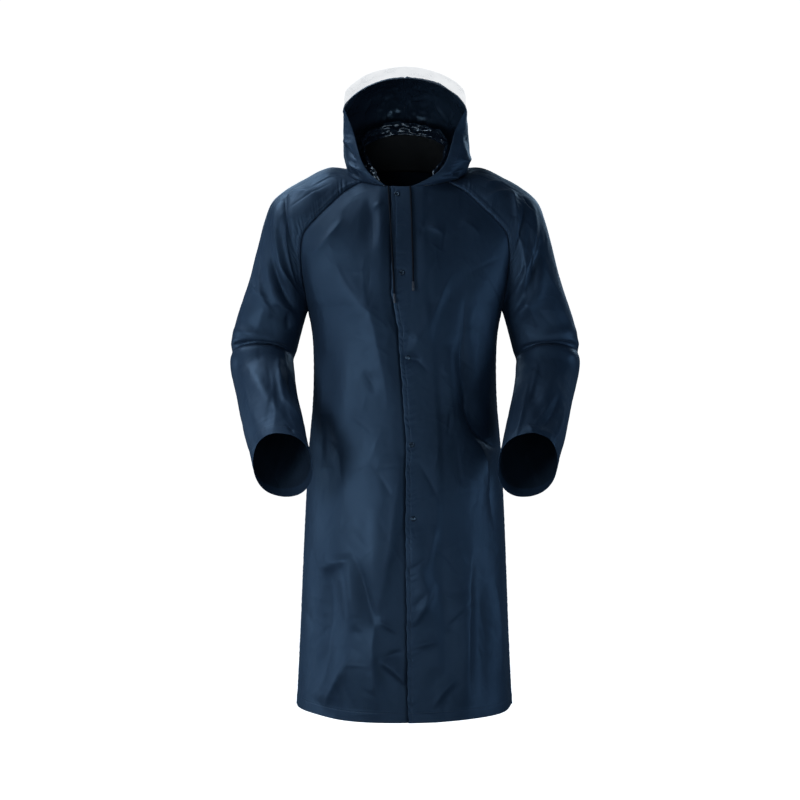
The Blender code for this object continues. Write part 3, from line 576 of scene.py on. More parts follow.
def nylon(name, deep, light, roughness, crease_depth, weave_depth, **constants):
    """One side of the nylon. Its colour varies a little, is painted a little darker between its woven threads as
    painted shade of the weave, and is rubbed lighter beside its seams.
    """
    made, tree, shader = finish_of(name, roughness[0], **constants)
    place = node(tree, "ShaderNodeTexCoord").outputs["Object"]
    flat_cloth = node(tree, "ShaderNodeUVMap", uv_map="cloth").outputs["UV"]
    to_seam = node(tree, "ShaderNodeAttribute", attribute_name="seam").outputs["Fac"]
    threads = shared(tree, weave, {"Vector": flat_cloth}).outputs["Height"]
    creases = shared(tree, crumple, {"Vector": place}).outputs
    puckers = shared(tree, pucker, {"Vector": place, "Distance": to_seam}).outputs
    # Random tone, plus the weave's height: the hollows between threads are painted darker, as painted shade.
    tone_and_weave_shade = maths(tree, "MULTIPLY_ADD", threads, 0.05, creases["Patches"])
    colour = mixed(tree, ranged(tree, tone_and_weave_shade, 0.0, 1.0, *PATCH_RANGE), deep, light)
    rubbed = maths(tree, "MULTIPLY", puckers["Nearness"], RUBBED_SHARE)
    feed(tree, mixed(tree, rubbed, colour, tuple(RUBBED_LIGHTER * part for part in light)), shader["Base Color"])
    feed(tree, ranged(tree, creases["Patches"], *roughness, *PATCH_RANGE), shader["Roughness"])
    creased = bumped(tree, creases["Height"], crease_depth)
    puckered = bumped(tree, puckers["Height"], PUCKER_HEIGHT, below=creased)
    feed(tree, bumped(tree, threads, weave_depth, 0.6, puckered), shader["Normal"])
    return made


NAVY = nylon(
    "navy_coated_nylon", (0.0135, 0.0255, 0.0490), (0.0175, 0.0330, 0.0620), (0.46, 0.57), 0.9 * MM, 0.02 * MM,
    Specular_IOR_Level=0.6, Specular_Tint=(0.38, 0.64, 1.0, 1.0), Sheen_Weight=0.04, Sheen_Roughness=0.4,
    Sheen_Tint=(0.55, 0.75, 1.0, 1.0),
)
# The inner side is darker than the outer side. Partly this is its plainer uncoated face, and partly it is painted
# shade, so that the coat's openings and insides read dark.
NAVY_INSIDE = nylon(
    "navy_nylon_inside", (0.009, 0.016, 0.028), (0.013, 0.023, 0.040), (0.42, 0.52), 0.35 * MM, 0.05 * MM,
    Specular_IOR_Level=0.5, Specular_Tint=(0.42, 0.66, 1.0, 1.0),
)

thread, thread_tree, thread_shader = finish_of("navy_thread", 0.55)
thread_place = node(thread_tree, "ShaderNodeTexCoord").outputs["Object"]
thread_ply = node(
    thread_tree, "ShaderNodeTexWave", {"Vector": thread_place, "Scale": 900.0, "Distortion": 1.5},
    bands_direction="DIAGONAL",
).outputs["Fac"]
# The thread is painted darker in the grooves between its plies, where the same waves sink its bump: painted shade.
feed(
    thread_tree, mixed(thread_tree, thread_ply, (0.020, 0.036, 0.066), (0.060, 0.090, 0.145)),
    thread_shader["Base Color"],
)
feed(thread_tree, bumped(thread_tree, thread_ply, 0.1 * MM, 0.6), thread_shader["Normal"])

# Lockstitches: a geometry tree that sets one rounded stitch after another along sewn lines.
STITCH_PITCH, STITCH_LENGTH, THREAD_WIDTH = 3.4 * MM, 2.7 * MM, 0.6 * MM
stitch_tree, stitch_input, stitch_output = shared_group(
    "stitches",
    [
        ("Geometry", GEOMETRY, None), ("Pitch", FLOAT, STITCH_PITCH), ("Length", FLOAT, STITCH_LENGTH),
        ("Width", FLOAT, THREAD_WIDTH), ("Thread", "NodeSocketMaterial", None),
    ],
    [("Geometry", GEOMETRY)],
    "GeometryNodeTree",
)
stitch_in = stitch_input.outputs
to_curve = node(stitch_tree, "GeometryNodeMeshToCurve", {"Mesh": stitch_in["Geometry"]})
resampled = node(
    stitch_tree, "GeometryNodeResampleCurve", {"Curve": to_curve.outputs[0], "Length": stitch_in["Pitch"]},
    mode="LENGTH",
)
stitch_ball = node(stitch_tree, "GeometryNodeMeshUVSphere", {"Segments": 6, "Rings": 4, "Radius": 0.5})
stitch_tangent = node(stitch_tree, "GeometryNodeInputTangent").outputs[0]
stitch_up = node(stitch_tree, "GeometryNodeInputNamedAttribute", {"Name": "up"}, data_type="FLOAT_VECTOR")
turned_along = node(stitch_tree, "FunctionNodeAlignRotationToVector", {"Vector": stitch_tangent}, axis="X")
turned_up = node(
    stitch_tree, "FunctionNodeAlignRotationToVector",
    {"Rotation": turned_along.outputs[0], "Vector": stitch_up.outputs["Attribute"]}, axis="Z", pivot_axis="X",
)
stitch_size = node(
    stitch_tree, "ShaderNodeCombineXYZ",
    {"X": stitch_in["Length"], "Y": stitch_in["Width"], "Z": stitch_in["Width"]},
)
stitch_copies = node(
    stitch_tree, "GeometryNodeInstanceOnPoints",
    {
        "Points": resampled.outputs[0], "Instance": stitch_ball.outputs["Mesh"],
        "Rotation": turned_up.outputs[0], "Scale": stitch_size.outputs[0],
    },
)
stitch_mesh = node(stitch_tree, "GeometryNodeRealizeInstances", {"Geometry": stitch_copies.outputs[0]})
stitch_paint = node(
    stitch_tree, "GeometryNodeSetMaterial", {"Geometry": stitch_mesh.outputs[0], "Material": stitch_in["Thread"]}
)
feed(stitch_tree, stitch_paint.outputs[0], stitch_output.inputs["Geometry"])
THREAD_INPUT = next(item.identifier for item in stitch_tree.interface.items_tree if item.name == "Thread")


def sewn(name, lines):
    """Rows of stitches along lines of points, each with the cloth's normals."""
    points, ups, edges = [], [], []
    for line, up_line in lines:
        first = len(points)
        points += line.tolist()
        ups += up_line.tolist()
        edges += [(first + step, first + step + 1) for step in range(len(line) - 1)]
    mesh = bpy.data.meshes.new(name)
    mesh.from_pydata(points, edges, [])
    up = mesh.attributes.new("up", "FLOAT_VECTOR", "POINT")
    up.data.foreach_set("vector", np.array(ups, np.float32).ravel())
    piece = linked(name, mesh)
    rows = piece.modifiers.new("stitches", "NODES")
    rows.node_group = stitch_tree
    rows[THREAD_INPUT] = thread
    baked(piece)
    piece.data.shade_smooth()
    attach(piece, "root")
    return piece


def in_place_of(solid, piece):
    """Tie a piece to the frame, in place of one of its solids."""
    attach(piece, "root")
    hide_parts(solid)


def cloth_panel(
    name, grid, normals, seam, turned, stands_for, lines, closed_from=None, finishes=(NAVY, NAVY_INSIDE)
):
    """A cloth panel with its stitches, tied to the frame, with the size it was cut to printed."""
    piece = panel_mesh(name, grid, normals, seam, turned, finishes, closed_from)
    in_place_of(stands_for, piece)
    stitches = sewn(name + "_stitches", lines)
    flat, area = flat_size(grid)
    print(f"{name}: {flat[0]:.3f} x {flat[1]:.3f} m, {area:.3f} m2, {len(piece.data.polygons)} faces")
    return piece


BACK_ROWS = body_rows(BACK_YOKE, 3)
back_line = body(BACK_ROWS)
back_places = level_places(back_line, 0.0, 0.0, len(BACK_ROWS) - 1, BACK_GRID[0], end=HEM_STEPS)
back_plain, back_shares = lay_out(back_line, (-1.0, 1.0), back_places, BACK_GRID[1])
back_up = normals_of(back_plain, upright(back_plain))
back_x, back_z = back_plain[..., 0] / CM, back_plain[..., 2] / CM
start, end, top, bottom = edge_distances(back_plain)
side = np.minimum(start, end)
fade = smooth((1.0 - np.abs(back_shares)) / BODY_SEAM_FADE) * smooth(back_places / NECK_FADE)[:, None]
back_creases = BACK_CREASES + strewn(11, BACK_STREWN, BODY_STREWN_X, BODY_STREWN_Z)
height = relief(back_creases, back_x, back_z, CREASE_CRISPNESS) * CREASE_DEPTH + relief(BACK_FOLDS, back_x, back_z)
height = height * FOLD_DEPTH * fade * CM + crumpled(back_plain) * smooth(side / CRUMPLE_FADE)
on_side = smooth((back_places - UNDERARM) / UNDERARM_BLEND)[:, None]
height += felled(side) * on_side + ditched(side) * (1.0 - on_side) + ditched(top) + hemmed(bottom)
height += gathered(side, top, *BACK_PUCKERS)
back = back_plain + joined(back_up, back_plain, np.minimum(side, top)) * height[..., None]
back_up = normals_of(back, upright(back))
cloth_panel(
    "back_panel", back, back_up, np.minimum(side, top), bottom < HEM_WIDTH, "back",
    [
        beside(back, back_up, edge, inset, slice(int(np.sum(back_places <= UNDERARM)), None))
        for edge in ("start", "end") for inset in FELL_STITCHES
    ]
    + [beside(back, back_up, "bottom", HEM_STITCHES[0])],
)

# Front panels: the wearer's right front lies underneath and the left front over it. Both are cut on the
# same lines. Each closing edge is turned in and topstitched, and the thread draws it into small puckers.
FRONT_YOKE = [
    (9.28, -6.20, -2.84, -10.5, -4.4, 53.8),
    (13.2, -8.0, -5.2, -11.6, -7.0, 56.0),
    (16.6, -9.2, -8.4, -12.6, -9.8, 60.0),
    (19.8, -9.7, -11.6, -13.4, -12.6, 64.0),
    (22.2, -9.3, -14.6, -14.2, -15.6, 69.0),
    (22.9, -8.2, -18.6, -15.0, -19.2, 74.0),
    (22.7, -6.2, -23.4, -15.8, -23.6, 80.0),
    (22.1, -3.2, -28.0, -16.3, -27.8, 86.0),
    (21.7, 0.3, -30.9, -16.5, -30.9, 90.0),
]
# The closing edge of the wearer's left front, from the hem up: z, edge x, snap x.
CLOSURE = [
    (-120.0, 0.6, 2.2),
    (-82.0, 0.1, 1.8),
    (-60.0, 0.2, 1.4),
    (-36.0, -1.5, 0.2),
    (-28.0, -2.9, -0.4),
    (-4.0, -3.0, -1.9),
]
UNDERLAP = 6.5
LIFT_RAMP = 1.8
LAYER_LIFT = 2.3 * MM
UNDERLAP_DROP = 1.2 * MM
SNAP_LEVELS = (-6.2, -23.6, -42.0, -60.7, -76.5)
SNAP_DIMPLE, SNAP_DIMPLE_RADIUS = 1.6 * MM, 1.3
EDGE_STEPS = np.array((0.0, 0.5, 1.2, 2.4, 4.2, 6.4, 8.2, 9.2, 10.2, 12.5, 16.0)) * MM
EDGE_FOLD, EDGE_STITCH = 35.0 * MM, 9.2 * MM
EDGE_ROLL = 0.9 * MM
# Cross rows of stitches through the closing edge: their levels, how far they reach in from the edge, the
# dent that they draw in the cloth, and the roll of cloth above it.
PLACKET_STITCH_LEVELS = (-13.0, -19.2, -22.8)
PLACKET_REACH, PLACKET_FADE = 3.2, 0.4
PLACKET_DENT, PLACKET_DENT_WIDTH = 0.7 * MM, 0.16
PLACKET_ROLL, PLACKET_ROLL_WIDTH, PLACKET_ROLL_RISE = 0.6 * MM, 0.3, 0.45
FRONT_GRID = (340, 104)
FRONT_STREWN = 150
FRONT_PUCKERS, EDGE_PUCKERS = (0.011, 0.35 * MM, 0.016), (0.0125, 1.2 * MM, 0.014)
# Under the cords the cloth lies calmer: above this height and between these sides, with the ways it fades.
CALM_Z, CALM_RIGHT_X, CALM_LEFT_X = -31.0, -5.6, 4.2
CALM_FADE_Z, CALM_FADE_X = 5.0, 1.4
# The shares of their height that creases and crumples lose there.
CALM_CREASES, CALM_CRUMPLES = 0.8, 0.5
# Above this height the closing edge stands off more, and the front below it sinks more. Below it, they
# keep these shares.
UPPER_Z, UPPER_FADE = -57.0, 20.0
LOWER_LIFT, LOWER_SINK = 0.35, 0.25
FRONT_FOLDS = [
    (12.1, -37.0, 13.0, -51.0, 2.0, -0.9),
    (13.0, -50.0, 17.6, -59.8, 1.9, -0.9),
    (10.0, -39.0, 10.6, -54.0, 2.3, 0.6),
    (0.8, -41.5, 8.5, -28.0, 2.0, 0.6),
    (2.5, -37.5, 16.5, -20.5, 2.2, -0.5),
    (4.5, -14.0, 6.2, -30.0, 2.2, 0.4),
    (-7.4, -7.5, -8.2, -18.5, 1.6, -0.4),
    (-5.2, -8.0, -5.6, -21.0, 1.7, 0.35),
    (-16.0, -22.0, -6.0, -36.0, 2.6, 0.5),
    (-17.0, -54.0, -17.4, -66.0, 1.8, -0.7),
    (-13.5, -38.0, -12.6, -62.0, 2.8, 0.5),
    (-12.6, -84.0, -11.0, -101.0, 2.3, 0.8),
    (-16.6, -86.0, -14.8, -104.0, 2.3, -0.8),
    (-18.6, -117.0, -12.4, -105.0, 1.8, 0.6),
    (-7.1, -106.5, -1.4, -112.0, 1.8, -0.4),
    (-5.6, -68.0, -7.4, -92.0, 2.6, 0.4),
    (1.6, -78.0, 5.2, -100.0, 1.9, 0.7),
    (5.6, -79.0, 8.4, -101.0, 2.0, -0.5),
    (9.5, -100.0, 14.2, -93.0, 1.9, 0.5),
    (15.8, -84.0, 17.0, -119.0, 2.2, -0.9),
    (12.0, -90.0, 12.6, -119.0, 2.4, 0.6),
    (6.0, -108.0, 6.6, -120.0, 2.0, -0.5),
]
FRONT_CREASES = [
    # The wearer's right: a broad plane with a sharp lower edge, and fans of creases under it.
    (-1.0, -63.0, -6.3, -98.5, 3.0, 0.75, 0.7, -0.5),
    (-10.8, -84.5, -6.7, -100.0, 1.6, -0.5, 0.3, -0.3),
    (-19.0, -88.2, -10.8, -85.3, 2.4, 0.5, 0.5, 0.5),
    (-6.4, -97.5, -5.4, -119.0, 1.7, 0.6, -0.9, -0.2),
    (-6.6, -98.2, -1.5, -101.0, 0.8, 0.25, 0.3, 0.3),
    (-5.6, -106.6, 0.2, -111.8, 1.2, 0.45, 0.3, 0.3),
    (-5.2, -106.8, -0.4, -104.8, 0.8, -0.3, 0.2),
    (-11.2, -104.5, -17.6, -118.0, 1.6, 0.6, 0.3, 0.4),
    (-17.0, -87.5, -18.0, -115.0, 2.6, -0.6, 0.5),
    (-9.7, -25.0, -3.6, -53.0, 3.0, 0.5, 0.7, -0.35),
    (-8.8, -44.6, -6.3, -49.4, 0.9, -0.22, 0.2),
    (-13.2, -11.2, -21.0, -20.0, 1.5, 0.45, 0.5, 0.2),
    (-7.4, -9.6, -4.3, -8.0, 0.9, 0.20, 0.2, 0.4),
    (-7.3, -8.6, -7.0, -18.6, 0.8, -0.20, 0.2),
    (-18.2, -41.0, -18.6, -68.0, 1.3, 0.35, 0.4),
    (-16.0, -50.0, -13.0, -74.0, 2.4, 0.3, 0.4),
    # The wearer's left: a deep curved groove beside the arm, and small planes that catch light.
    (13.3, -27.0, 12.8, -49.0, 0.9, -0.40, -0.3),
    (12.8, -47.0, 14.8, -57.0, 0.9, -0.45, -0.4),
    (13.8, -54.5, 20.4, -62.0, 1.0, -0.50, -0.8),
    (14.4, -57.5, 18.6, -72.0, 1.7, 0.45, 0.9, -0.2),
    (10.2, -23.2, 0.9, -41.2, 0.9, 0.35, 0.5, 0.2),
    (7.4, -28.8, 1.8, -40.0, 0.6, -0.22, 0.3),
    (-1.0, -41.2, 3.6, -42.6, 0.7, -0.30, -0.3),
    (0.8, -40.8, 5.2, -45.4, 0.5, -0.15, 0.2),
    (4.0, -13.2, 8.6, -15.2, 1.0, 0.32, 0.3, 0.3),
    (12.0, -12.0, 16.5, -15.5, 1.2, 0.30, 0.4),
    (6.2, -77.8, 4.4, -87.6, 1.3, 0.48, 0.3, -0.4),
    (0.2, -87.8, 4.6, -84.9, 0.6, -0.25, -0.2),
    (6.4, -89.8, 1.4, -99.6, 1.3, 0.50, 0.4, -0.4),
    (1.0, -96.0, 5.2, -91.6, 0.6, -0.25, -0.2),
    (8.4, -101.2, 14.8, -94.6, 0.8, -0.35, 0.3, 0.2),
    (14.8, -80.0, 13.2, -118.0, 1.8, 0.50, -0.6, -0.3),
    (2.6, -64.0, 7.6, -73.5, 0.8, -0.18, 0.3),
    (5.6, -117.5, 11.0, -110.5, 1.3, 0.40, 0.4, 0.3),
    (1.2, -104.0, 7.8, -102.6, 0.9, 0.25, 0.2),
    (19.6, -89.0, 21.2, -113.0, 1.1, 0.35, 0.4),
    (17.8, -64.5, 19.6, -80.0, 1.1, -0.40, 0.4),
]
# How far the closing edge stands off the front below it, and that front sinks, at its upper part.
EDGE_LIFT, EDGE_LIFT_WIDTH = 1.6 * MM, 1.3
EDGE_SINK, EDGE_SINK_REACH, EDGE_SINK_FADE = 6.0 * MM, 2.8, 3.2
# The narrow hollow under the closing edge: how deep, and how far it shows beside the edge.
EDGE_HOLLOW, EDGE_HOLLOW_WIDTH = 3.0 * MM, 0.5
# How far the closing edge strays sideways, in centimetres: in long waves, and in short ones on top of them.
STRAY_LONG, STRAY_SHORT = 0.09, 0.05
FRONT_ROWS = body_rows(FRONT_YOKE, 2)
front_line = body(FRONT_ROWS)


def closure(z):
    """The closing edge's x and the snaps' x at a height, in centimetres."""
    levels, edges, snaps = np.array(CLOSURE).T
    return np.interp(z, levels, edges), np.interp(z, levels, snaps)


def share_at(place, past_edge):
    """The share of a front row that lies a way past the closing edge."""
    seam_x, _, _, _, z, turn = body_row(FRONT_ROWS, place)
    turn = math.radians(turn)
    return math.asin((float(closure(z)[0]) + past_edge) * math.sin(turn) / seam_x) / turn


def wander(place):
    """How far the closing edge strays sideways at a row, where its stitches have drawn it in."""
    z = float(body_row(FRONT_ROWS, place)[4])
    return STRAY_LONG * math.sin(0.83 * z) * math.sin(0.31 * z + 0.4) + STRAY_SHORT * math.sin(2.1 * z + 1.0)


def front_panel(side_name):
    """One front, which lies on top on the wearer's left and underneath on the right."""
    on_top = side_name == "left"

    def limits(place):
        return (share_at(place, wander(place)), 1.0) if on_top else (-1.0, share_at(place, UNDERLAP))

    steps = (EDGE_STEPS, SEAM_STEPS) if on_top else (SEAM_STEPS, EDGE_STEPS)
    places = level_places(front_line, 0.0, 0.0, len(FRONT_ROWS) - 1, FRONT_GRID[0], end=HEM_STEPS)
    plain, shares = lay_out(front_line, limits, places, FRONT_GRID[1], *steps)
    up = normals_of(plain, upright(plain))
    x, z = plain[..., 0] / CM, plain[..., 2] / CM
    start, end, top, bottom = edge_distances(plain)
    to_edge, to_seam = (start, end) if on_top else (end, start)
    fade = smooth((1.0 - np.abs(shares)) / BODY_SEAM_FADE) * smooth(places / NECK_FADE)[:, None]
    calm = smooth((x - CALM_RIGHT_X) / CALM_FADE_X) * smooth((CALM_LEFT_X - x) / CALM_FADE_X)
    calm = smooth((z - CALM_Z) / CALM_FADE_Z) * calm
    creases = FRONT_CREASES + strewn(23, FRONT_STREWN, BODY_STREWN_X, BODY_STREWN_Z)
    height = relief(creases, x, z, CREASE_CRISPNESS) * CREASE_DEPTH * (1.0 - CALM_CREASES * calm)
    height = (height + relief(FRONT_FOLDS, x, z)) * FOLD_DEPTH * fade * CM
    height += crumpled(plain) * smooth(to_seam / CRUMPLE_FADE) * (1.0 - CALM_CRUMPLES * calm)
    height += ditched(to_seam) + gathered(to_seam, top, *FRONT_PUCKERS) + ditched(top) + hemmed(bottom)
    edges = closure(z)[0]
    upper = smooth((z - UPPER_Z) / UPPER_FADE)
    if on_top:
        height += smooth((edges + UNDERLAP + LIFT_RAMP - x) / LIFT_RAMP) * LAYER_LIFT
        lift = EDGE_LIFT * np.exp(-(((x - edges) / EDGE_LIFT_WIDTH) ** 2)) * (LOWER_LIFT + (1.0 - LOWER_LIFT) * upper)
        height += lift * (1.0 - CALM_CRUMPLES * calm)
        height -= EDGE_ROLL * np.exp(-((to_edge / EDGE_ROLL) ** 2))
        puckers = gathered(np.abs(to_edge - EDGE_STITCH), top, *EDGE_PUCKERS)
        height += sunk(to_edge, (EDGE_STITCH,)) + puckers * (1.0 - CALM_CRUMPLES * calm)
        for level in SNAP_LEVELS:
            away = np.hypot(x - closure(level)[1], z - level) / SNAP_DIMPLE_RADIUS
            height -= SNAP_DIMPLE * np.exp(-(away**2))
        placket = smooth((edges + PLACKET_REACH - x) / PLACKET_FADE)
        for level in PLACKET_STITCH_LEVELS:
            above = z - level
            height -= PLACKET_DENT * np.exp(-((above / PLACKET_DENT_WIDTH) ** 2)) * placket
            height += PLACKET_ROLL * np.exp(-(((above - PLACKET_ROLL_RISE) / PLACKET_ROLL_WIDTH) ** 2)) * placket
    else:
        height -= smooth((x - edges) / LIFT_RAMP) * UNDERLAP_DROP
        sink = smooth((x - edges + EDGE_SINK_REACH) / EDGE_SINK_FADE)
        height -= EDGE_SINK * sink * (LOWER_SINK + (1.0 - LOWER_SINK) * upper)
        height -= EDGE_HOLLOW * smooth((x - edges + EDGE_HOLLOW_WIDTH) / EDGE_HOLLOW_WIDTH)
    grid = plain + joined(up, plain, np.minimum(to_seam, top)) * height[..., None]
    up = normals_of(grid, upright(grid))
    seam = np.minimum(np.minimum(to_seam, top), np.abs(to_edge - EDGE_STITCH) + 4.0 * MM)
    closing_edge = "start" if on_top else "end"
    lines = [beside(grid, up, "bottom", HEM_STITCHES[0]), beside(grid, up, closing_edge, EDGE_STITCH)]
    if on_top:
        for level in PLACKET_STITCH_LEVELS:
            row = int(np.argmin(np.abs(grid[:, 0, 2] - level * CM)))
            inside = to_edge[row] < PLACKET_REACH * CM
            lines.append((grid[row][inside], up[row][inside]))
    turned = (bottom < HEM_WIDTH) | (to_edge < EDGE_FOLD)
    return cloth_panel(
        "front_panel_" + side_name, grid, up, seam, turned, "front_" + side_name, lines
    )


front_panel("right")
top_front = front_panel("left")

# Snaps: five caps of dark enamelled brass, each pressed through the edge of the upper front. A cap is
# a turned disc with a raised ring and a sunken middle, and it draws the cloth into a shallow dimple.
SNAP_SIDES = 40
SNAP_SEAT = 0.2 * MM
# Radius and height of the cap's outline, in millimetres, from the middle of its face to its back.
SNAP_OUTLINE = [
    (0.0, 1.55), (1.5, 1.50), (2.3, 1.25), (2.8, 1.30), (3.2, 1.75), (3.8, 2.20), (4.5, 2.38), (5.2, 2.25),
    (5.8, 1.75), (6.15, 1.10), (6.2, 0.55), (6.0, 0.15), (5.4, 0.0), (0.0, 0.0),
]
TURNED_SHARP_ANGLE = 50.0


def speckled(name, scale, detail, dark, light, roughness, grain, strength=0.5, **constants):
    """A finish that one fine noise varies in colour, roughness and grain, with its tree, noise and sockets.

    "roughness" is its two ends, and may go on with the noise's values that they belong to.
    """
    made, tree, shader = finish_of(name, roughness[0], **constants)
    place = node(tree, "ShaderNodeTexCoord").outputs["Object"]
    speck = node(tree, "ShaderNodeTexNoise", {"Vector": place, "Scale": scale, "Detail": detail}).outputs["Fac"]
    feed(tree, mixed(tree, speck, dark, light), shader["Base Color"])
    feed(tree, ranged(tree, speck, *roughness), shader["Roughness"])
    feed(tree, bumped(tree, speck, grain, strength), shader["Normal"])
    return made, tree, speck, shader


enamel = speckled(
    "enamelled_brass", 900.0, 2.0, (0.004, 0.007, 0.013), (0.010, 0.016, 0.028), (0.10, 0.18), 0.02 * MM,
    Specular_IOR_Level=1.0, Specular_Tint=(0.45, 0.70, 1.0, 1.0),
)[0]


def turned_piece(name, outline, sides, foot, along, material):
    """A solid turned from an outline of radii and heights, in metres, stood on a point along a direction."""
    turn = Vector((0.0, 0.0, 1.0)).rotation_difference(along).to_matrix()
    mesh = bmesh.new()
    rings = []
    for radius, high in outline:
        steps = range(sides if radius else 1)
        angles = [math.tau * step / sides for step in steps]
        ring = [
            mesh.verts.new(foot + turn @ Vector((radius * math.cos(angle), radius * math.sin(angle), high)))
            for angle in angles
        ]
        rings.append(ring if radius else ring * sides)
    for upper, lower in zip(rings, rings[1:]):
        for step in range(sides):
            after = (step + 1) % sides
            mesh.faces.new(list(dict.fromkeys((upper[step], lower[step], lower[after], upper[after]))))
    return solid_piece(name, mesh, material, TURNED_SHARP_ANGLE)


def solid_piece(name, mesh, material, sharp_angle):
    """A closed piece from a bmesh, smooth except where its faces meet at a sharp angle."""
    bmesh.ops.recalc_face_normals(mesh, faces=mesh.faces)
    data = bpy.data.meshes.new(name)
    mesh.to_mesh(data)
    mesh.free()
    data.materials.append(material)
    data.shade_smooth()
    data.set_sharp_from_angle(angle=math.radians(sharp_angle))
    return linked(name, data)


top_cloth = BVHTree.FromObject(top_front, bpy.context.evaluated_depsgraph_get())
for number, level in enumerate(SNAP_LEVELS, 1):
    spot = Vector((closure(level)[1] * CM, -0.5, level * CM))
    seat, outward, _, _ = top_cloth.ray_cast(spot, Vector((0.0, 1.0, 0.0)))
    cap = turned_piece(
        f"snap_cap_{number}", [(radius * MM, high * MM) for radius, high in SNAP_OUTLINE], SNAP_SIDES,
        seat + outward * SNAP_SEAT, outward, enamel,
    )
    in_place_of(f"snap_{number}", cap)

# Raglan sleeves: each is one piece, wrapped round the arm and closed by a seam under it, and set into
# both fronts and the back by seams that run up to the neck. It folds sharply at the bent elbow.
SIDES = {"left": 1, "right": -1}
# The shoulder's ridge x, y, z and half depth, row for row with the yoke.
SHOULDER = [
    (11.5, 0.0, -0.6, 6.5),
    (16.8, 0.3, 0.9, 8.3),
    (22.2, 0.4, -1.4, 9.4),
    (26.6, 0.5, -3.9, 9.9),
    (29.7, 0.6, -6.8, 9.7),
    (31.3, 0.7, -10.6, 9.1),
    (32.8, 0.8, -16.0, 8.6),
    (34.2, 0.9, -21.7, 8.2),
    (35.7, 1.0, -27.5, 7.9),
]
# Rings of the arm below the underarm: centre x, y, z; half width, half depth; pitch, lean.
ARM = [
    (28.75, 0.65, -29.2, 7.2, 7.9, 0.0, 13.6),
    (29.9, 0.9, -32.5, 7.35, 7.9, 3.0, 12.0),
    (30.9, 1.3, -36.0, 7.4, 7.9, 6.0, 9.0),
    (31.6, 1.5, -39.0, 7.35, 7.8, 12.0, 6.0),
    (31.9, 1.3, -41.3, 6.9, 7.2, 24.0, 3.0),
    (32.0, 0.4, -43.4, 7.15, 7.7, 35.0, 0.0),
    (31.4, -2.3, -46.6, 6.9, 7.4, 42.0, -2.0),
    (30.4, -6.2, -50.4, 6.7, 7.2, 46.0, -2.0),
    (29.2, -10.6, -54.5, 6.7, 7.1, 48.0, -1.0),
    (27.9, -15.2, -58.9, 6.6, 7.1, 52.0, 1.0),
    (26.8, -18.9, -62.4, 6.4, 7.2, 60.0, 3.0),
    (26.0, -21.5, -64.9, 6.3, 7.35, 68.0, 4.0),
]
RING_SQUARENESS = 0.04
UNDERARM_EASE = 0.06
# Centimetres of cloth from one row to the next, and round the arm for each degree.
SLEEVE_SCALE = (3.4, 0.128)
SLEEVE_GRID = {"yoke": 170, "arm": 84, "round": 128}
SLEEVE_STREWN, SLEEVE_STREWN_ROWS, SLEEVE_STREWN_ANGLES = 110, (0.5, 18.5), (-170.0, 170.0)
RAGLAN_PUCKERS, CUFF_PUCKERS = (0.0095, 1.0 * MM, 0.024), (0.012, 0.4 * MM, 0.012)
# Folds die out on the arm's inner side, past this angle, until this many rows below the underarm.
INNER_ANGLE, INNER_FADE, INNER_ROWS = 120.0, 50.0, 1.5
# How many rows above the underarm the folds go from those of the open yoke to those of the closed arm.
ARM_BLEND = 0.8
# Folds from row, angle to row, angle. Angle 0 is the outside of the arm and -90 its front.
SLEEVE_FOLDS = [
    (8.0, -150.0, 3.6, -62.0, 1.7, 0.6),
    (9.6, -158.0, 6.4, -60.0, 1.7, 0.6),
    (8.8, -150.0, 5.2, -70.0, 1.5, -0.5),
    (12.0, -150.0, 12.0, -20.0, 1.5, -0.9),
    (11.0, -120.0, 10.2, -10.0, 1.6, 0.5),
    (13.2, -140.0, 13.6, -10.0, 1.7, 0.6),
    (13.0, 20.0, 12.4, 130.0, 1.8, -0.6),
    (11.4, 10.0, 11.0, 120.0, 1.8, 0.5),
    (14.6, -60.0, 17.6, -100.0, 1.6, 0.5),
    (15.2, -120.0, 18.0, -60.0, 1.5, -0.4),
    (8.0, 150.0, 4.4, 66.0, 1.8, 0.6),
    (9.4, 156.0, 6.6, 70.0, 1.7, -0.5),
]
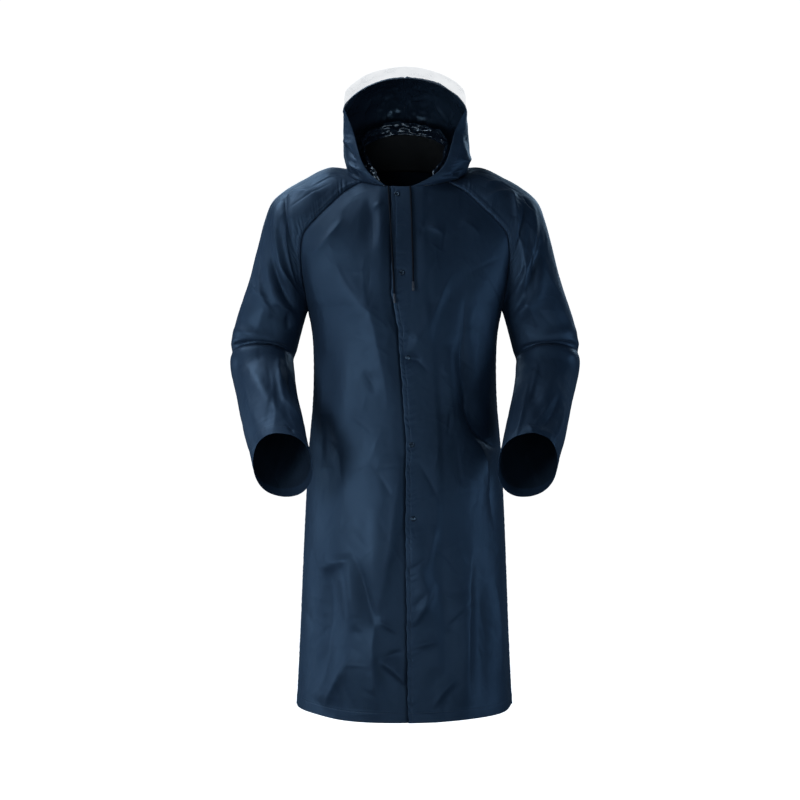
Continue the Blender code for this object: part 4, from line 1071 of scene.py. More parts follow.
SLEEVE_CREASES = {
    "both": [
        (12.05, -165.0, 12.0, 5.0, 0.55, -0.45),
        (11.3, -150.0, 11.2, 0.0, 1.0, 0.35, 0.0, -0.3),
        (10.2, 150.0, 8.2, 60.0, 1.0, 0.35, 0.5, 0.3),
        (12.2, 40.0, 11.6, 150.0, 0.8, -0.35, 0.4),
        (14.0, 150.0, 15.8, 40.0, 1.1, 0.35, 0.6, 0.3),
        (5.6, 150.0, 2.6, 90.0, 0.9, -0.30, 0.6),
        (3.0, 150.0, 1.8, 50.0, 1.0, 0.35, 0.4, 0.3),
        (16.2, 110.0, 18.4, 60.0, 0.9, -0.25, 0.3),
    ],
    "right": [
        (3.0, -40.0, 5.4, -168.0, 0.7, -0.42, -1.0),
        (4.2, -118.0, 7.0, -154.0, 0.55, 0.30, -0.3),
        (2.0, -140.0, 2.9, -50.0, 1.5, 0.40, 0.5),
        (6.0, -104.0, 7.2, -158.0, 0.7, 0.35, 0.2),
        (6.3, -44.0, 9.4, -110.0, 0.8, 0.38, 0.6, 0.2),
        (6.2, -84.0, 7.9, -132.0, 1.2, -0.40, 0.2),
        (7.1, -20.0, 7.9, -84.0, 0.8, 0.30, 0.4, -0.3),
        (8.4, -120.0, 9.8, -130.0, 0.8, -0.35),
        (14.8, -104.0, 18.6, -74.0, 0.8, 0.22, -0.4),
        (17.9, -104.0, 18.8, -120.0, 0.35, -0.22),
        (18.0, -118.0, 18.6, -106.0, 0.30, -0.15),
        (13.6, -122.0, 16.5, -112.0, 0.9, 0.38, 0.2, -0.3),
        (16.2, -110.0, 17.3, -160.0, 0.9, 0.40, 0.3),
        (14.2, -140.0, 16.4, -142.0, 1.3, -0.50),
    ],
    "left": [
        (1.5, -120.0, 2.15, -40.0, 0.65, 0.36, 0.4),
        (1.9, -160.0, 2.5, -72.0, 0.75, 0.36, 0.3),
        (2.5, -60.0, 4.3, -152.0, 0.8, 0.45, -0.8, 0.2),
        (3.3, -76.0, 5.6, -172.0, 0.7, -0.42, -0.7),
        (3.2, -64.0, 4.1, -80.0, 0.45, -0.28),
        (4.3, -152.0, 7.7, -116.0, 0.8, 0.32, 0.8),
        (6.9, -122.0, 9.8, -100.0, 0.9, 0.32, 0.3),
        (4.8, -114.0, 7.8, -96.0, 1.2, -0.32, 0.3),
        (15.2, -118.0, 19.0, -114.0, 0.75, 0.45, 0.3, -0.2),
        (14.2, -106.0, 16.8, -108.0, 0.45, 0.22),
        (15.8, -52.0, 18.5, -70.0, 1.2, -0.42, 0.4),
        (17.9, -98.0, 19.2, -74.0, 0.4, 0.24),
        (16.0, -34.0, 19.0, -36.0, 0.6, 0.28),
        (15.8, -58.0, 18.2, -86.0, 0.5, 0.20, -0.2),
    ],
}


def neck_ring(angles, half_width, front, side_z, back):
    """An oval round the neck, from its front's and back's y and z. Angle 0 is its front and 180 its back."""
    c, s = np.cos(np.radians(angles)), np.sin(np.radians(angles))
    deep, high = (np.where(c > 0.0, *ends) for ends in zip(front, back))
    return np.stack((half_width * s, deep * np.abs(c), side_z + (high - side_z) * np.abs(c)), -1)


def neck(angles):
    """The neck seam."""
    return neck_ring(angles, NECK_HALF_WIDTH, (NECK_FRONT_Y, NECK_FRONT_Z), NECK_SIDE_Z, (NECK_BACK_Y, NECK_BACK_Z))


def sleeve(side):
    """A function for the points of a sleeve's row, at shares of the way from front seam to back seam."""
    mirror = np.array((side, 1.0, 1.0)) * CM

    def line(place, shares):
        if place <= 0.0:
            front_angle, back_angle = FRONT_YOKE[0][5], 180.0 - BACK_YOKE[0][5]
            return neck(front_angle + (back_angle - front_angle) * shares) * mirror
        if place < UNDERARM:
            front_seam, back_seam = read(FRONT_YOKE, place)[:3], read(BACK_YOKE, place)[:3]
            *ridge, half_depth = read(SHOULDER, place)
            meet = math.asin(min(np.linalg.norm(back_seam - front_seam) / 2.0 / half_depth, 1.0))
            deep = (back_seam - front_seam) / 2.0 / math.sin(meet)
            wide = (np.array(ridge) - (front_seam + back_seam) / 2.0) / (1.0 + math.cos(meet))
            centre = np.array(ridge) - wide
        else:
            x, y, z, half_width, half_depth, pitch, lean = read(ARM, place - UNDERARM)
            pitch, lean, meet = math.radians(pitch), math.radians(lean), 0.0
            centre = np.array((x, y, z))
            wide = np.array((math.cos(lean), 0.0, math.sin(lean))) * half_width
            deep = np.array((0.0, math.cos(pitch), -math.sin(pitch))) * half_depth
        angle = ((2.0 * shares - 1.0) * (math.pi - meet))[:, None]
        square = 1.0 + RING_SQUARENESS * smooth(place - UNDERARM) * np.sin(2.0 * angle) ** 2
        return (centre + (wide * np.cos(angle) + deep * np.sin(angle)) * square) * mirror

    return line


def rounded_off(grid, row, reach, share):
    """The grid with the bend in its columns at one row rounded off, by a share of the way."""
    run = run_length(grid[:, grid.shape[1] // 2])
    first, last = (int(np.argmin(np.abs(run - run[row] - way))) for way in (-reach, reach))
    u = ((run[first : last + 1] - run[first]) / (run[last] - run[first]))[:, None, None]
    start, end = grid[first], grid[last]
    leave = (grid[first] - grid[first - 1]) / (run[first] - run[first - 1]) * (run[last] - run[first])
    arrive = (grid[last + 1] - grid[last]) / (run[last + 1] - run[last]) * (run[last] - run[first])
    curve = start * (2.0 * u**3 - 3.0 * u**2 + 1.0) + end * (3.0 * u**2 - 2.0 * u**3)
    curve = curve + leave * (u**3 - 2.0 * u**2 + u) + arrive * (u**3 - u**2)
    eased = grid.copy()
    eased[first : last + 1] += (curve - grid[first : last + 1]) * share[first : last + 1, :, None]
    return eased


for side_name, side in SIDES.items():
    sleeve_line = sleeve(side)
    yoke_places = level_places(sleeve_line, 0.5, 0.0, UNDERARM, SLEEVE_GRID["yoke"], end=PLAIN_STEPS)
    arm_places = level_places(
        sleeve_line, 0.3, UNDERARM, UNDERARM + len(ARM) - 1, SLEEVE_GRID["arm"], start=PLAIN_STEPS, end=HEM_STEPS
    )
    places = np.concatenate((yoke_places, arm_places[1:]))
    closed_from = len(yoke_places) - 1
    plain, shares = lay_out(sleeve_line, (0.0, 1.0), places, SLEEVE_GRID["round"])
    off_seam = smooth(np.minimum(shares, 1.0 - shares) / SLEEVE_SEAM_FADE)
    plain = rounded_off(plain, closed_from, UNDERARM_EASE, off_seam)
    axis = (plain[:, plain.shape[1] // 2] + (plain[:, 0] + plain[:, -1]) / 2.0)[:, None] / 2.0
    up = normals_of(plain, axis, closed_from)
    angles, rows = (2.0 * shares - 1.0) * 180.0, np.broadcast_to(places[:, None], shares.shape)
    start, end, top, bottom = edge_distances(plain)
    to_seam = np.minimum(start, end)
    open_fade = smooth(rows / NECK_FADE) * off_seam
    inner_side = smooth((np.abs(angles) - INNER_ANGLE) / INNER_FADE)
    arm_fade = 1.0 - inner_side * (1.0 - smooth((rows - UNDERARM) / INNER_ROWS))
    in_arm = smooth((rows - UNDERARM + ARM_BLEND) / ARM_BLEND)
    fade = open_fade * (1.0 - in_arm) + arm_fade * in_arm
    height = relief(SLEEVE_FOLDS, rows, angles, scale=SLEEVE_SCALE)
    creases = SLEEVE_CREASES["both"] + SLEEVE_CREASES[side_name] + strewn(
        37 + side, SLEEVE_STREWN, SLEEVE_STREWN_ROWS, SLEEVE_STREWN_ANGLES, SLEEVE_SCALE, slant=90.0
    )
    height += relief(creases, rows, angles, CREASE_CRISPNESS, SLEEVE_SCALE) * CREASE_DEPTH
    height = height * FOLD_DEPTH * fade * CM
    set_in = smooth((UNDERARM + UNDERARM_BLEND - rows) / UNDERARM_BLEND)
    height += crumpled(plain) * smooth(to_seam / CRUMPLE_FADE) + hemmed(bottom) + ditched(top)
    height += felled(to_seam, RAGLAN_FELL_WIDTH, RAGLAN_STITCHES) * set_in + ditched(to_seam) * (1.0 - set_in)
    height += gathered(to_seam, top, *RAGLAN_PUCKERS) * set_in
    height += gathered(np.abs(bottom - HEM_STITCHES[0]), start, *CUFF_PUCKERS)
    grid = plain + joined(up, plain, np.minimum(to_seam, top), set_in) * height[..., None]
    grid[closed_from:, -1] = grid[closed_from:, 0]
    up = normals_of(grid, axis, closed_from)
    cloth_panel(
        "raglan_sleeve_" + side_name, grid, up, np.minimum(to_seam, top), bottom[:, :1] < HEM_WIDTH,
        "sleeve_" + side_name,
        [beside(grid, up, edge, inset, slice(closed_from)) for edge in ("start", "end") for inset in RAGLAN_STITCHES]
        + [
            beside(grid, up, "start", FELL_STITCHES[0], slice(closed_from, None)),
            beside(grid, up, "bottom", HEM_STITCHES[0]),
        ],
        closed_from,
    )

# Stand band: an inner collar sewn into the neck seam, which stands up inside the hood and closes round
# the neck. Its upper edge is turned in, stitched, and crumpled from being worn.
BAND_TOP_HALF_WIDTH = 9.7
BAND_TOP_FRONT_Y, BAND_TOP_BACK_Y = -8.7, 7.6
BAND_TOP_FRONT_Z, BAND_TOP_SIDE_Z, BAND_TOP_BACK_Z = -3.0, 5.4, 12.0
# Its rim runs down to the neck seam between these two angles from the middle front.
BAND_START_ANGLE, BAND_FULL_ANGLE = 23.0, 50.0
BAND_BOW = 0.4
BAND_INSET = 2.6 * MM
# How far its foot reaches down inside the coat, past the neck seam.
BAND_TURN = 9.0 * MM
BAND_HEM, BAND_STITCH = 26.0 * MM, 24.0 * MM
# Its rim is rolled outwards and down.
BAND_ROLL_RADIUS, BAND_ROLL_TURN = 1.7 * MM, 300.0
BAND_CRUMPLES = [(0.022, 6.0), (0.010, 2.2)]
# How much narrower its rim is at the front than an ellipse, and how steep its foot is below the neck seam.
BAND_NARROWING = 0.8
BAND_FOOT_STEEPNESS = 1.4
BAND_START_EASE = 4.0
# Its crumples fade down over this stretch, and keep this share of their height at the band's two ends.
BAND_CRUMPLE_FADE, BAND_END_SHARE = 6.0 * MM, 0.35
BAND_RISES = np.concatenate(
    ((-1.0, -0.5), np.linspace(0.0, 0.62, 16), np.linspace(0.65, 1.0, 34), np.linspace(1.1, 2.0, 10))
)
BAND_COLUMNS = 210
NAVY_GLOSS = nylon(
    "navy_glossy_band", (0.006, 0.011, 0.022), (0.010, 0.018, 0.034), (0.16, 0.26), 0.5 * MM, 0.02 * MM,
    Specular_IOR_Level=1.0, Specular_Tint=(0.6, 0.8, 1.0, 1.0), Coat_Weight=1.0, Coat_Roughness=0.12,
)
# The band's inner side is near black: painted shade for the inside of the neck, where the coat's interior lies in
# shadow.
NAVY_PAINTED_SHADE = nylon(
    "navy_band_inside_painted_shade", (0.0025, 0.0035, 0.005), (0.004, 0.0055, 0.0075), (0.55, 0.65), 0.35 * MM, 0.05 * MM,
    Specular_IOR_Level=0.3,
)


def band_line(rise, angles):
    """A row of the band: its foot inside the neck is below 0, its stand 0 to 1, and its rolled rim above 1."""
    foot = neck(angles) * CM
    flat = foot * (1.0, 1.0, 0.0)
    flat /= np.linalg.norm(flat, axis=-1, keepdims=True)
    foot = foot - flat * BAND_INSET
    half_width = BAND_TOP_HALF_WIDTH - BAND_NARROWING * smooth((np.cos(np.radians(angles)) + 0.35) / 0.5)
    front, back = (BAND_TOP_FRONT_Y, BAND_TOP_FRONT_Z), (BAND_TOP_BACK_Y, BAND_TOP_BACK_Z)
    rim = neck_ring(angles, half_width, front, BAND_TOP_SIDE_Z, back) * CM
    from_front = np.minimum(angles, 360.0 - angles)
    first = BAND_START_ANGLE - BAND_START_EASE
    full = smooth((from_front - first) / (BAND_FULL_ANGLE - first))
    rim = foot + (rim - foot) * full[:, None]
    if rise < 0.0:
        way = (rim - foot) / np.linalg.norm(rim - foot, axis=-1, keepdims=True)
        return foot + way * (1.0, 1.0, BAND_FOOT_STEEPNESS) * BAND_TURN * rise
    if rise > 1.0:
        turn = math.radians((rise - 1.0) * BAND_ROLL_TURN)
        roll = BAND_ROLL_RADIUS * full[:, None]
        return rim + flat * roll * (1.0 - math.cos(turn)) + np.array((0.0, 0.0, 1.0)) * roll * math.sin(turn)
    return foot + (rim - foot) * rise + flat * BAND_BOW * CM * math.sin(math.pi * rise)


band_angles = np.linspace(BAND_START_ANGLE, 360.0 - BAND_START_ANGLE, BAND_COLUMNS)
plain = np.array([band_line(rise, band_angles) for rise in BAND_RISES])
up = normals_of(plain, upright(plain))
start, end, _, to_rim = edge_distances(plain)
to_rim = to_rim - to_rim[BAND_RISES <= 1.0][-1]
ends = smooth(np.minimum(start, end) / 0.03)
height = crumpled(plain, BAND_CRUMPLES, (1.0, 1.0, 1.4))
height = height * smooth((BAND_HEM + 2.0 * MM - to_rim) / BAND_CRUMPLE_FADE)
height = height * (BAND_END_SHARE + (1.0 - BAND_END_SHARE) * ends) + crumpled(plain)
height += 1.6 * sunk(to_rim, (BAND_STITCH,))
band = plain + up * height[..., None]
band_up = normals_of(band, upright(band))
cloth_panel(
    "stand_band", band, band_up, np.abs(to_rim - BAND_STITCH), to_rim < BAND_HEM, "neck_band",
    [beside(band, band_up, "bottom", BAND_STITCH, BAND_RISES <= 1.0, inside) for inside in (False, True)],
    finishes=(NAVY_GLOSS, NAVY_PAINTED_SHADE),
)

# Hood: two side panels joined over the crown and down the back, and sewn round the neck with some
# fullness. The front edge is turned in as a casing for the drawcord, so it is double and stitched.
# Arches of one side, from its edge to its back seam:
# crown y, z; side x, y, z; neck angle; fullness below and above.
HOOD = [
    (-7.0, 19.8, 13.45, -5.6, 13.2, 18.0, 0.12, 1.35),
    (-4.6, 20.4, 13.70, -3.9, 12.6, 36.0, 0.50, 1.20),
    (-1.2, 20.8, 13.75, -1.0, 11.4, 58.0, 0.85, 1.05),
    (3.0, 20.6, 13.50, 2.5, 10.0, 82.0, 1.00, 1.00),
    (7.2, 19.2, 12.60, 6.0, 8.9, 106.0, 1.00, 1.00),
    (10.6, 16.4, 10.60, 9.2, 7.9, 130.0, 1.00, 1.00),
    (12.8, 12.9, 7.40, 11.7, 7.1, 151.0, 1.00, 1.00),
    (13.9, 10.0, 3.80, 13.2, 6.5, 166.0, 1.00, 1.00),
    (14.2, 8.6, 0.00, 13.8, 6.0, 180.0, 1.00, 1.00),
]
HOOD_CENTRE = (0.0, 2.0, 8.0)
EDGE_NECK_ANGLE = {1: 7.0, -1: 21.0}
LOW_ROUNDNESS = 0.62
LOW_BULGE = {1: 0.9, -1: 0.2}
# How far the front edge bows out on its way down to the neck, lower down as the power grows.
EDGE_BOW = {1: 3.1, -1: 1.9}
EDGE_BOW_POWER = 2.2
# How many arches from the edge its own bow and its own neck angle reach, and where the low bulge lies.
EDGE_BOW_REACH, EDGE_ANGLE_REACH = 1.6, 2.0
BULGE_RISE, BULGE_END, BULGE_FALL = 1.5, 6.0, 3.0
# Centimetres of cloth from one arch to the next, and down an arch.
HOOD_SCALE = (3.2, 30.0)
# Creases from arch, share down it, to arch, share.
HOOD_CREASES = {
    "left": [
        (0.4, 0.62, 2.6, 0.90, 2.6, 0.40),
        (0.3, 0.80, 2.4, 0.70, 0.8, 0.35, 0.4),
        (0.2, 0.88, 2.2, 0.93, 0.7, 0.35, -0.3, 0.3),
        (0.9, 0.66, 2.0, 0.58, 0.6, -0.30, 0.2),
        (0.5, 0.94, 1.6, 0.82, 0.6, -0.30, 0.2),
        (3.2, 0.30, 4.6, 0.62, 1.2, 0.40, 0.5),
        (5.0, 0.80, 6.6, 0.55, 1.2, -0.35, 0.4),
        (1.3, 0.24, 2.1, 0.46, 0.7, -0.30, 0.5),
        (2.4, 0.20, 3.4, 0.40, 0.8, 0.30, 0.4),
        (4.0, 0.16, 4.9, 0.34, 0.8, -0.30, -0.4),
    ],
    "right": [
        (0.6, 0.78, 2.2, 1.00, 2.2, -0.25),
        (0.2, 0.90, 1.9, 0.74, 0.7, 0.38, 0.3, 0.2),
        (0.3, 0.82, 1.6, 0.66, 0.6, -0.35, 0.2),
        (0.4, 0.70, 2.0, 0.60, 0.6, 0.30, 0.2),
        (1.4, 0.96, 2.4, 0.82, 0.8, -0.35, 0.3),
        (3.4, 0.34, 4.8, 0.60, 1.2, 0.40, 0.5),
        (5.2, 0.78, 6.4, 0.52, 1.2, -0.35, 0.4),
        (1.2, 0.26, 2.0, 0.47, 0.7, -0.32, -0.5),
        (2.6, 0.18, 3.3, 0.42, 0.8, 0.30, -0.4),
        (3.8, 0.18, 4.7, 0.32, 0.8, -0.30, 0.4),
    ],
}
HOOD_FOLD_DEPTH = 2.5
HOOD_GRID = (84, 140)
HOOD_STREWN, HOOD_STREWN_ARCHES, HOOD_STREWN_SHARES = 60, (0.2, 7.6), (0.08, 0.95)
CASING_HEIGHT = 0.9 * MM
CASING_PUCKERS, NECK_PUCKERS = (0.0105, 0.7 * MM, 0.013), (0.012, 0.5 * MM, 0.014)
CASING, CASING_STITCH = 25.0 * MM, 23.0 * MM
CASING_STEPS = np.array((0.0, 0.8, 2.0, 5.0, 10.0, 15.0, 19.0, 21.5, 23.0, 24.5, 26.5, 30.0)) * MM
# The crumples of the crown lie between these arches, and down to this share of them.
CROWN_CRUMPLES = [(0.022, 4.0), (0.010, 2.4)]
CROWN_ARCHES, CROWN_ARCH_FADE, CROWN_SHARE, CROWN_SHARE_FADE = (1.6, 6.2), 0.8, 0.26, 0.12
# The hood's inner side is glossier than the outer side, and its colour is painted lighter than the outer cloth's:
# painted light standing in for light that reaches the inside of the hood.
NAVY_SHINY = nylon(
    "navy_hood_inside_painted_light", (0.017, 0.031, 0.055), (0.022, 0.040, 0.070), (0.24, 0.34), 0.6 * MM, 0.02 * MM,
    Specular_IOR_Level=0.9, Specular_Tint=(0.5, 0.75, 1.0, 1.0),
)


def hood(side):
    """A function for the points of an arch of one side of the hood, at shares from crown to neck."""

    def line(place, shares):
        crown_y, crown_z, side_x, side_y, side_z, angle, low_fullness, high_fullness = read(HOOD, place)
        angle += (EDGE_NECK_ANGLE[side] - HOOD[0][5]) * smooth(1.0 - place / EDGE_ANGLE_REACH)
        foot_x, foot_y, foot_z = neck(angle)
        turn = np.clip(2.0 * shares, 0.0, 1.0) * math.pi / 2.0
        fall = np.maximum(np.cos(turn), 0.0)
        high = (
            side_x * np.sin(turn), side_y + (crown_y - side_y) * fall, side_z + (crown_z - side_z) * fall**high_fullness
        )
        down = np.clip(2.0 * shares - 1.0, 0.0, 1.0)
        turn = down * math.pi / 2.0
        x_round = foot_x + (side_x - foot_x) * np.maximum(np.cos(turn), 0.0) ** LOW_ROUNDNESS
        z_round = side_z + (foot_z - side_z) * np.sin(turn)
        x_plain, z_plain = side_x + (foot_x - side_x) * down, side_z + (foot_z - side_z) * down
        bulge = LOW_BULGE[side] * np.sin(math.pi * down) * smooth(place / BULGE_RISE)
        bulge = bulge * smooth((BULGE_END - place) / BULGE_FALL)
        bow = EDGE_BOW[side] * np.sin(math.pi * down**EDGE_BOW_POWER) * smooth(1.0 - place / EDGE_BOW_REACH)
        low = (
            x_plain + (x_round - x_plain) * low_fullness + bulge + bow,
            side_y + (foot_y - side_y) * smooth(down),
            z_plain + (z_round - z_plain) * low_fullness,
        )
        return np.where((shares > 0.5)[:, None], np.stack(low, -1), np.stack(high, -1)) * (side, 1.0, 1.0) * CM

    return line


for side_name, side in SIDES.items():
    last_arch = len(HOOD) - 1
    hood_line = hood(side)
    places = level_places(hood_line, 0.35, 0.0, last_arch, HOOD_GRID[0], start=CASING_STEPS)
    plain, shares = lay_out(hood_line, (0.0, 1.0), places, HOOD_GRID[1])
    centre = np.array(HOOD_CENTRE) * CM
    up = normals_of(plain, centre)
    up[:, 0, 0] = up[-1, :, 0] = 0.0
    up /= np.linalg.norm(up, axis=2, keepdims=True)
    arches = np.broadcast_to(places[:, None], shares.shape)
    to_crown, to_neck, to_edge, to_back = edge_distances(plain)
    to_joint = np.minimum(to_crown, to_back)
    fade = smooth(shares / 0.2) * smooth((1.0 - shares) / 0.12) * smooth((last_arch - arches) / 1.5)
    creases = HOOD_CREASES[side_name] + strewn(
        53 + side, HOOD_STREWN, HOOD_STREWN_ARCHES, HOOD_STREWN_SHARES, HOOD_SCALE
    )
    height = relief(creases, arches, shares, CREASE_CRISPNESS, HOOD_SCALE) * HOOD_FOLD_DEPTH * fade * CM
    height += crumpled(plain) * smooth(to_joint / CRUMPLE_FADE)
    in_crown = smooth((CROWN_SHARE - shares) / CROWN_SHARE_FADE) * smooth(to_crown / 0.01)
    for past in (arches - CROWN_ARCHES[0], CROWN_ARCHES[1] - arches):
        in_crown = in_crown * smooth(past / CROWN_ARCH_FADE)
    height += crumpled(plain, CROWN_CRUMPLES, (1.0, 1.0, 1.0)) * in_crown
    height += (felled(to_joint) if side > 0 else ditched(to_joint)) + ditched(to_neck)
    height += doubled(to_edge, CASING) * CASING_HEIGHT + 1.4 * sunk(to_edge, (CASING_STITCH,))
    height += gathered(np.abs(to_edge - CASING_STITCH), to_crown, *CASING_PUCKERS)
    height += gathered(to_neck, to_edge, *NECK_PUCKERS)
    height -= 0.8 * MM * np.exp(-((to_edge / (1.0 * MM)) ** 2))
    grid = plain + joined(up, plain, to_neck) * height[..., None]
    grid[:, 0, 0] = grid[-1, :, 0] = 0.0
    up = normals_of(grid, centre)
    lines = [beside(grid, up, "top", CASING_STITCH, inside=inside) for inside in (False, True)]
    if side > 0:
        lines += [beside(grid, up, edge, inset) for edge in ("start", "bottom") for inset in FELL_STITCHES]
    seam = np.minimum(np.minimum(to_joint, to_neck), np.abs(to_edge - CASING_STITCH))
    cloth_panel(
        "hood_panel_" + side_name, grid, up, seam, to_edge < CASING, "hood_" + side_name,
        lines, finishes=(NAVY, NAVY_SHINY),
    )

# Visor: a crescent of clear soft plastic that keeps rain off the face. Its inner edge is caught in the
# hood's front edge with one row of stitches, and its free edge is cut smooth.
VISOR_REACH, VISOR_ROOT = 5.0, 0.35
VISOR_HALF_TURN, VISOR_TAPER = 86.0, 0.30
# How far its root lies ahead of the hood's edge, and the share of its reach that is left at its sides.
VISOR_LEAD, VISOR_SIDE_SHARE = 0.05, 0.55
VISOR_THICKNESS, VISOR_STITCH = 0.7 * MM, 2.0 * MM
VISOR_ROWS, VISOR_COLUMNS = np.concatenate((np.linspace(0.0, 0.95, 20), (0.97, 0.985, 1.0))), 121
# The way it juts out, in parts of its reach, and the height and the turn of the waves in its free edge.
VISOR_JUT_SIDE, VISOR_JUT_FRONT, VISOR_JUT_UP = 0.25, -0.94, 0.30
VISOR_WAVE, VISOR_WAVE_TURN = 0.05, 9.0
clear, clear_tree, clear_haze, clear_shader = speckled(
    "clear_soft_plastic", 30.0, 3.0, (0.74, 0.82, 0.90), (0.88, 0.93, 0.97), (0.10, 0.22, 0.3, 0.7), 0.4 * MM,
    IOR=1.5, Coat_Weight=0.3, Coat_Roughness=0.05,
)
feed(clear_tree, ranged(clear_tree, clear_haze, 0.09, 0.19, 0.3, 0.7), clear_shader["Alpha"])


def visor_line(out, across):
    """A row of the visor, from its root in the hood's edge at 0 to its free edge at 1."""
    crown_y, crown_z, side_x, side_y, side_z, _, _, fullness = HOOD[0]
    turn = math.radians(VISOR_HALF_TURN) * across
    root_y = side_y + (crown_y - side_y) * np.cos(turn) - VISOR_LEAD
    root_z = side_z + (crown_z - side_z) * np.cos(turn) ** fullness
    end = smooth((1.0 - np.abs(across)) / VISOR_TAPER)
    reach = VISOR_REACH * (VISOR_SIDE_SHARE + (1.0 - VISOR_SIDE_SHARE) * np.cos(turn)) * end
    reach = (VISOR_ROOT + reach)[:, None]
    jut = (VISOR_JUT_SIDE * np.sin(turn), np.full_like(turn, VISOR_JUT_FRONT), np.full_like(turn, VISOR_JUT_UP))
    wave = VISOR_WAVE * np.sin(VISOR_WAVE_TURN * turn + 0.6) * end * out**2
    return (np.stack((side_x * np.sin(turn), root_y, root_z + wave), -1) + np.stack(jut, -1) * reach * out) * CM


visor = np.array([visor_line(out, np.linspace(-1.0, 1.0, VISOR_COLUMNS)) for out in VISOR_ROWS])
visor_up = normals_of(visor, np.array(HOOD_CENTRE) * CM)
visor_sheet = panel_mesh("visor_sheet", visor, visor_up, 1.0, 0.0, (clear,), thickness=VISOR_THICKNESS)
in_place_of("visor", visor_sheet)
visor_stitches = sewn("visor_stitches", [beside(visor, visor_up, "top", VISOR_STITCH)])
visor_flat, visor_area = flat_size(visor)

# Drawcords: one round braided nylon cord that runs through the hood's casing. Its two ends hang down the
# front, and each is closed by a short tube of plastic shrunk on to it.
CORD_DIAMETER = 4.0 * MM
TIP_GAP, TIP_LENGTH, TIP_RADIUS = 0.3 * MM, 20.0 * MM, 2.9 * MM
CORD_SIDES, CORD_POINTS, TIP_SIDES = 14, 90, 20
CORD_SHARP_ANGLE = 60.0
# The braid: strands round the cord, and the length of cord in which one of them goes round.
BRAID_STRANDS, BRAID_PITCH = 4.0, 5.0 * MM
CORD_ROUTES = {
    "left": [
        (1.10, -11.05, -4.4), (1.16, -11.38, -5.2), (1.22, -11.94, -6.4), (1.28, -12.50, -7.8),
        (1.34, -13.05, -9.4), (1.40, -13.60, -11.2), (1.46, -14.17, -13.2), (1.52, -14.76, -15.4),
        (1.58, -15.28, -17.6), (1.64, -15.74, -19.8), (1.68, -16.11, -21.8), (1.72, -16.43, -23.8),
        (1.74, -16.68, -25.6),
    ],
    "right": [
        (-3.65, -10.64, -4.4), (-3.60, -11.12, -5.2), (-3.52, -11.82, -6.5), (-3.44, -12.48, -8.0),
        (-3.34, -13.10, -9.6), (-3.22, -13.70, -11.4), (-3.10, -14.28, -13.4), (-2.98, -14.85, -15.6),
        (-2.86, -15.32, -17.8), (-2.74, -15.74, -20.0), (-2.62, -16.10, -22.2), (-2.50, -16.43, -24.4),
        (-2.40, -16.68, -26.4), (-2.32, -16.85, -28.2),
    ],
}
# Radius and height of a tip's outline, as parts of its radius and length: ribbed where it grips the braid.
TIP_OUTLINE = [
    (0.0, 0.0), (0.74, 0.0), (0.86, 0.02), (0.92, 0.06), (0.88, 0.11), (0.95, 0.16), (0.90, 0.21), (0.97, 0.27),
    (1.0, 0.40), (0.99, 0.70), (0.93, 0.93), (0.82, 0.985), (0.64, 1.0), (0.0, 1.0),
]
braid, braid_tree, braid_shader = finish_of("braided_nylon", 0.8, Specular_IOR_Level=0.12)
braid_uv = node(braid_tree, "ShaderNodeUVMap", uv_map="cord").outputs["UV"]
braid_split = node(braid_tree, "ShaderNodeSeparateXYZ", {0: braid_uv}).outputs
braid_round = maths(braid_tree, "MULTIPLY", braid_split["X"], math.tau * BRAID_STRANDS)
braid_down = maths(braid_tree, "MULTIPLY", braid_split["Y"], math.tau / BRAID_PITCH)
braid_height = maths(
    braid_tree, "MAXIMUM",
    *(maths(braid_tree, "SINE", maths(braid_tree, way, braid_round, braid_down)) for way in ("ADD", "SUBTRACT")),
)
# The braid's colour is darker in the grooves between its strands and lighter on their crests: painted shade and
# highlight.
braid_groove_shade = ranged(braid_tree, braid_height, 0.0, 1.0, 0.2, 1.0)
feed(
    braid_tree, mixed(braid_tree, braid_groove_shade, (0.003, 0.004, 0.007), (0.012, 0.017, 0.028)),
    braid_shader["Base Color"],
)
feed(braid_tree, bumped(braid_tree, braid_height, 0.35 * MM, 0.9), braid_shader["Normal"])
tube = speckled(
    "shrunk_plastic_tube", 380.0, 2.0, (0.022, 0.028, 0.042), (0.060, 0.072, 0.098), (0.28, 0.42), 0.15 * MM, 0.6
)[0]


def cord_piece(name, points, radius, sides, material):
    """A round cord along a line of points, with turns and metres as its UV map, and closed ends."""
    ahead = np.gradient(points, axis=0)
    ahead /= np.linalg.norm(ahead, axis=1, keepdims=True)
    side = np.cross(ahead, (0.0, 1.0, 0.0))
    side /= np.linalg.norm(side, axis=1, keepdims=True)
    front = np.cross(side, ahead)
    run = run_length(points)
    mesh = bmesh.new()
    flat = mesh.loops.layers.uv.new("cord")
    angles = [math.tau * step / sides for step in range(sides)]
    rings = [
        [mesh.verts.new(point + (across * math.cos(angle) + out * math.sin(angle)) * radius) for angle in angles]
        for point, across, out in zip(points, side, front)
    ]
    for ring in range(len(points) - 1):
        for step in range(sides):
            after = (step + 1) % sides
            low, high = rings[ring], rings[ring + 1]
            face = mesh.faces.new((low[step], high[step], high[after], low[after]))
            places = ((step, ring), (step, ring + 1), (step + 1, ring + 1), (step + 1, ring))
            for loop, (turns, far) in zip(face.loops, places):
                loop[flat].uv = (turns / sides, run[far])
    mesh.faces.new(rings[0])
    mesh.faces.new(rings[-1][::-1])
    return solid_piece(name, mesh, material, CORD_SHARP_ANGLE)


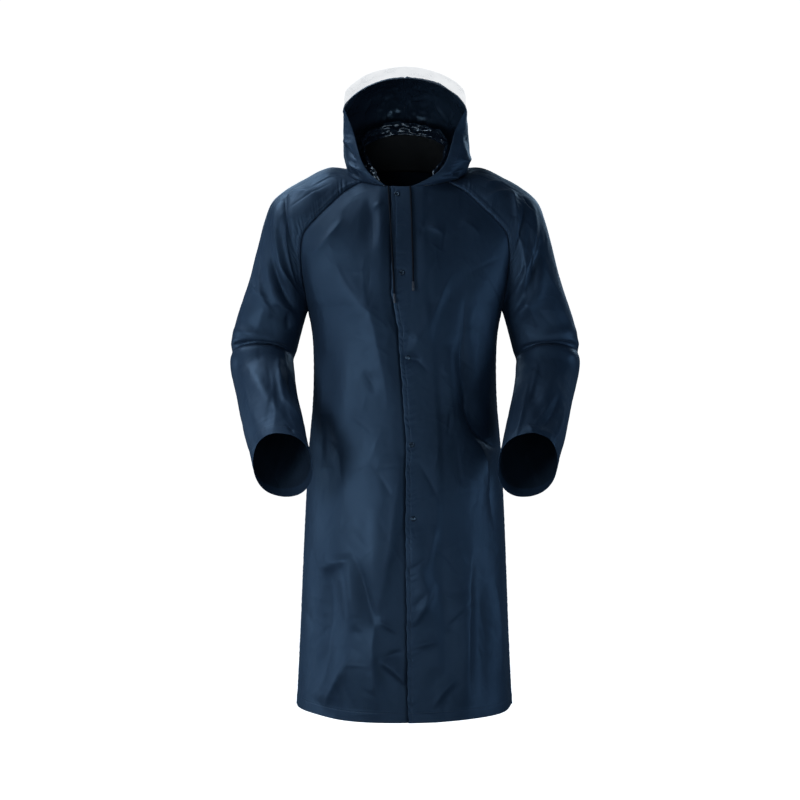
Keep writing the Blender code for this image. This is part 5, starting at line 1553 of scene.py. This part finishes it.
for side_name, route in CORD_ROUTES.items():
    knots = np.array(route) * CM
    points = np.array([read(knots, (len(knots) - 1) * step / (CORD_POINTS - 1)) for step in range(CORD_POINTS)])
    cord = cord_piece("cord_" + side_name, points, CORD_DIAMETER / 2.0, CORD_SIDES, braid)
    in_place_of("drawcord_" + side_name, cord)
    way = Vector(points[-1] - points[-2]).normalized()
    outline = [(part * TIP_RADIUS, share * (TIP_LENGTH + TIP_GAP)) for part, share in TIP_OUTLINE]
    tip = turned_piece("tip_" + side_name, outline, TIP_SIDES, Vector(points[-1]), way, tube)
    in_place_of("cord_tip_" + side_name, tip)
    float(run_length(points)[-1])

# Studio: a white floor that bends up into a white wall behind, soft lights above the wearer's right, weak
# ones low in front, beside and behind the coat, and a level camera at waist height.
camera = linked("camera", bpy.data.cameras.new("camera"))
camera.data.lens = 84.4
camera.data.sensor_width = 36.0
camera.location = (-0.011, -4.2, -0.5105)
camera.rotation_euler = (math.pi / 2.0, 0.0, 0.0)
bpy.context.scene.camera = camera

FLOOR_Z, FLOOR_FRONT_Y, WALL_Y, BEND_RADIUS = -1.52, -7.0, 6.2, 1.4
BACKDROP_HALF_WIDTH, BACKDROP_TOP = 8.0, 6.0
profile = [(FLOOR_FRONT_Y, FLOOR_Z)]
for turn in np.radians(np.arange(0.0, 91.0, 6.0)):
    profile.append((WALL_Y - BEND_RADIUS * (1.0 - math.sin(turn)), FLOOR_Z + BEND_RADIUS * (1.0 - math.cos(turn))))
profile.append((WALL_Y, BACKDROP_TOP))
backdrop_mesh = bpy.data.meshes.new("backdrop")
backdrop_mesh.from_pydata(
    [(x, y, z) for y, z in profile for x in (-BACKDROP_HALF_WIDTH, BACKDROP_HALF_WIDTH)],
    [],
    [(2 * row, 2 * row + 1, 2 * row + 3, 2 * row + 2) for row in range(len(profile) - 1)],
)
backdrop_mesh.shade_smooth()
backdrop = linked("backdrop", backdrop_mesh)
paper, _, paper_shader = finish_of("backdrop_paper", 0.9, Specular_IOR_Level=0.1, Emission_Strength=1.0)
paper_shader["Base Color"].default_value = (0.82, 0.82, 0.82, 1.0)
paper_shader["Emission Color"].default_value = (1.0, 1.0, 1.0, 1.0)
backdrop_mesh.materials.append(paper)
backdrop.visible_glossy = backdrop.visible_diffuse = False

MAIN_LIGHT, EDGE_LIGHT = (0.81, 0.915, 1.0), (0.52, 0.76, 1.0)


def softbox(name, place, aim, width, height, power, colour, spread=180.0):
    """A soft rectangular lamp that points from one place to another, with its spread in degrees."""
    light = bpy.data.lights.new(name, "AREA")
    light.shape = "RECTANGLE"
    light.size, light.size_y = width, height
    light.energy = power
    light.color = colour
    light.spread = math.radians(spread)
    lamp = linked(name, light)
    lamp.location = place
    lamp.rotation_euler = (Vector(aim) - Vector(place)).to_track_quat("-Z", "Y").to_euler()
    lamp.visible_camera = False


softbox("top", (-1.5, -0.3, 1.6), (-0.1, 0.0, -0.4), 1.8, 1.8, 22.0, MAIN_LIGHT)
softbox("top back", (-1.3, 0.9, 1.9), (-0.1, 0.0, -0.4), 1.2, 1.2, 22.0, EDGE_LIGHT)
softbox("side", (-1.7, -1.5, -0.5), (-0.1, -0.1, -0.58), 0.9, 0.9, 2.3, MAIN_LIGHT, spread=60.0)
softbox("front", (0.2, -3.2, -1.4), (0.0, 0.0, -0.4), 1.2, 1.2, 9.0, MAIN_LIGHT)
softbox("front left", (-1.1, -3.4, -0.6), (0.0, 0.0, -0.5), 1.4, 1.8, 6.0, MAIN_LIGHT)
softbox("front right", (1.5, -2.6, -1.2), (0.0, 0.0, -0.6), 1.2, 1.2, 6.5, MAIN_LIGHT)
softbox("left edge", (-2.0, 0.3, -0.9), (0.0, 0.0, -0.8), 0.8, 1.2, 8.0, EDGE_LIGHT)
softbox("right edge", (2.0, -0.3, -0.8), (0.0, 0.0, -0.7), 0.8, 1.2, 8.0, EDGE_LIGHT)
softbox("back left", (-0.8, 3.4, 1.2), (0.0, 0.0, -0.4), 1.2, 1.6, 16.0, EDGE_LIGHT)
softbox("back right", (1.8, 3.0, 1.2), (0.0, 0.0, -0.4), 1.6, 1.6, 20.0, EDGE_LIGHT)
SKY_LIGHT = 0.04
world = bpy.data.worlds.new("studio")
world.use_nodes = True
background = world.node_tree.nodes["Background"].inputs
seen = node(world.node_tree, "ShaderNodeLightPath").outputs["Is Camera Ray"]
feed(world.node_tree, mixed(world.node_tree, seen, EDGE_LIGHT, (1.0, 1.0, 1.0)), background["Color"])
feed(world.node_tree, maths(world.node_tree, "MULTIPLY_ADD", seen, 1.0 - SKY_LIGHT, SKY_LIGHT), background["Strength"])
bpy.context.scene.world = world
bpy.context.scene.view_settings.view_transform = "Standard"
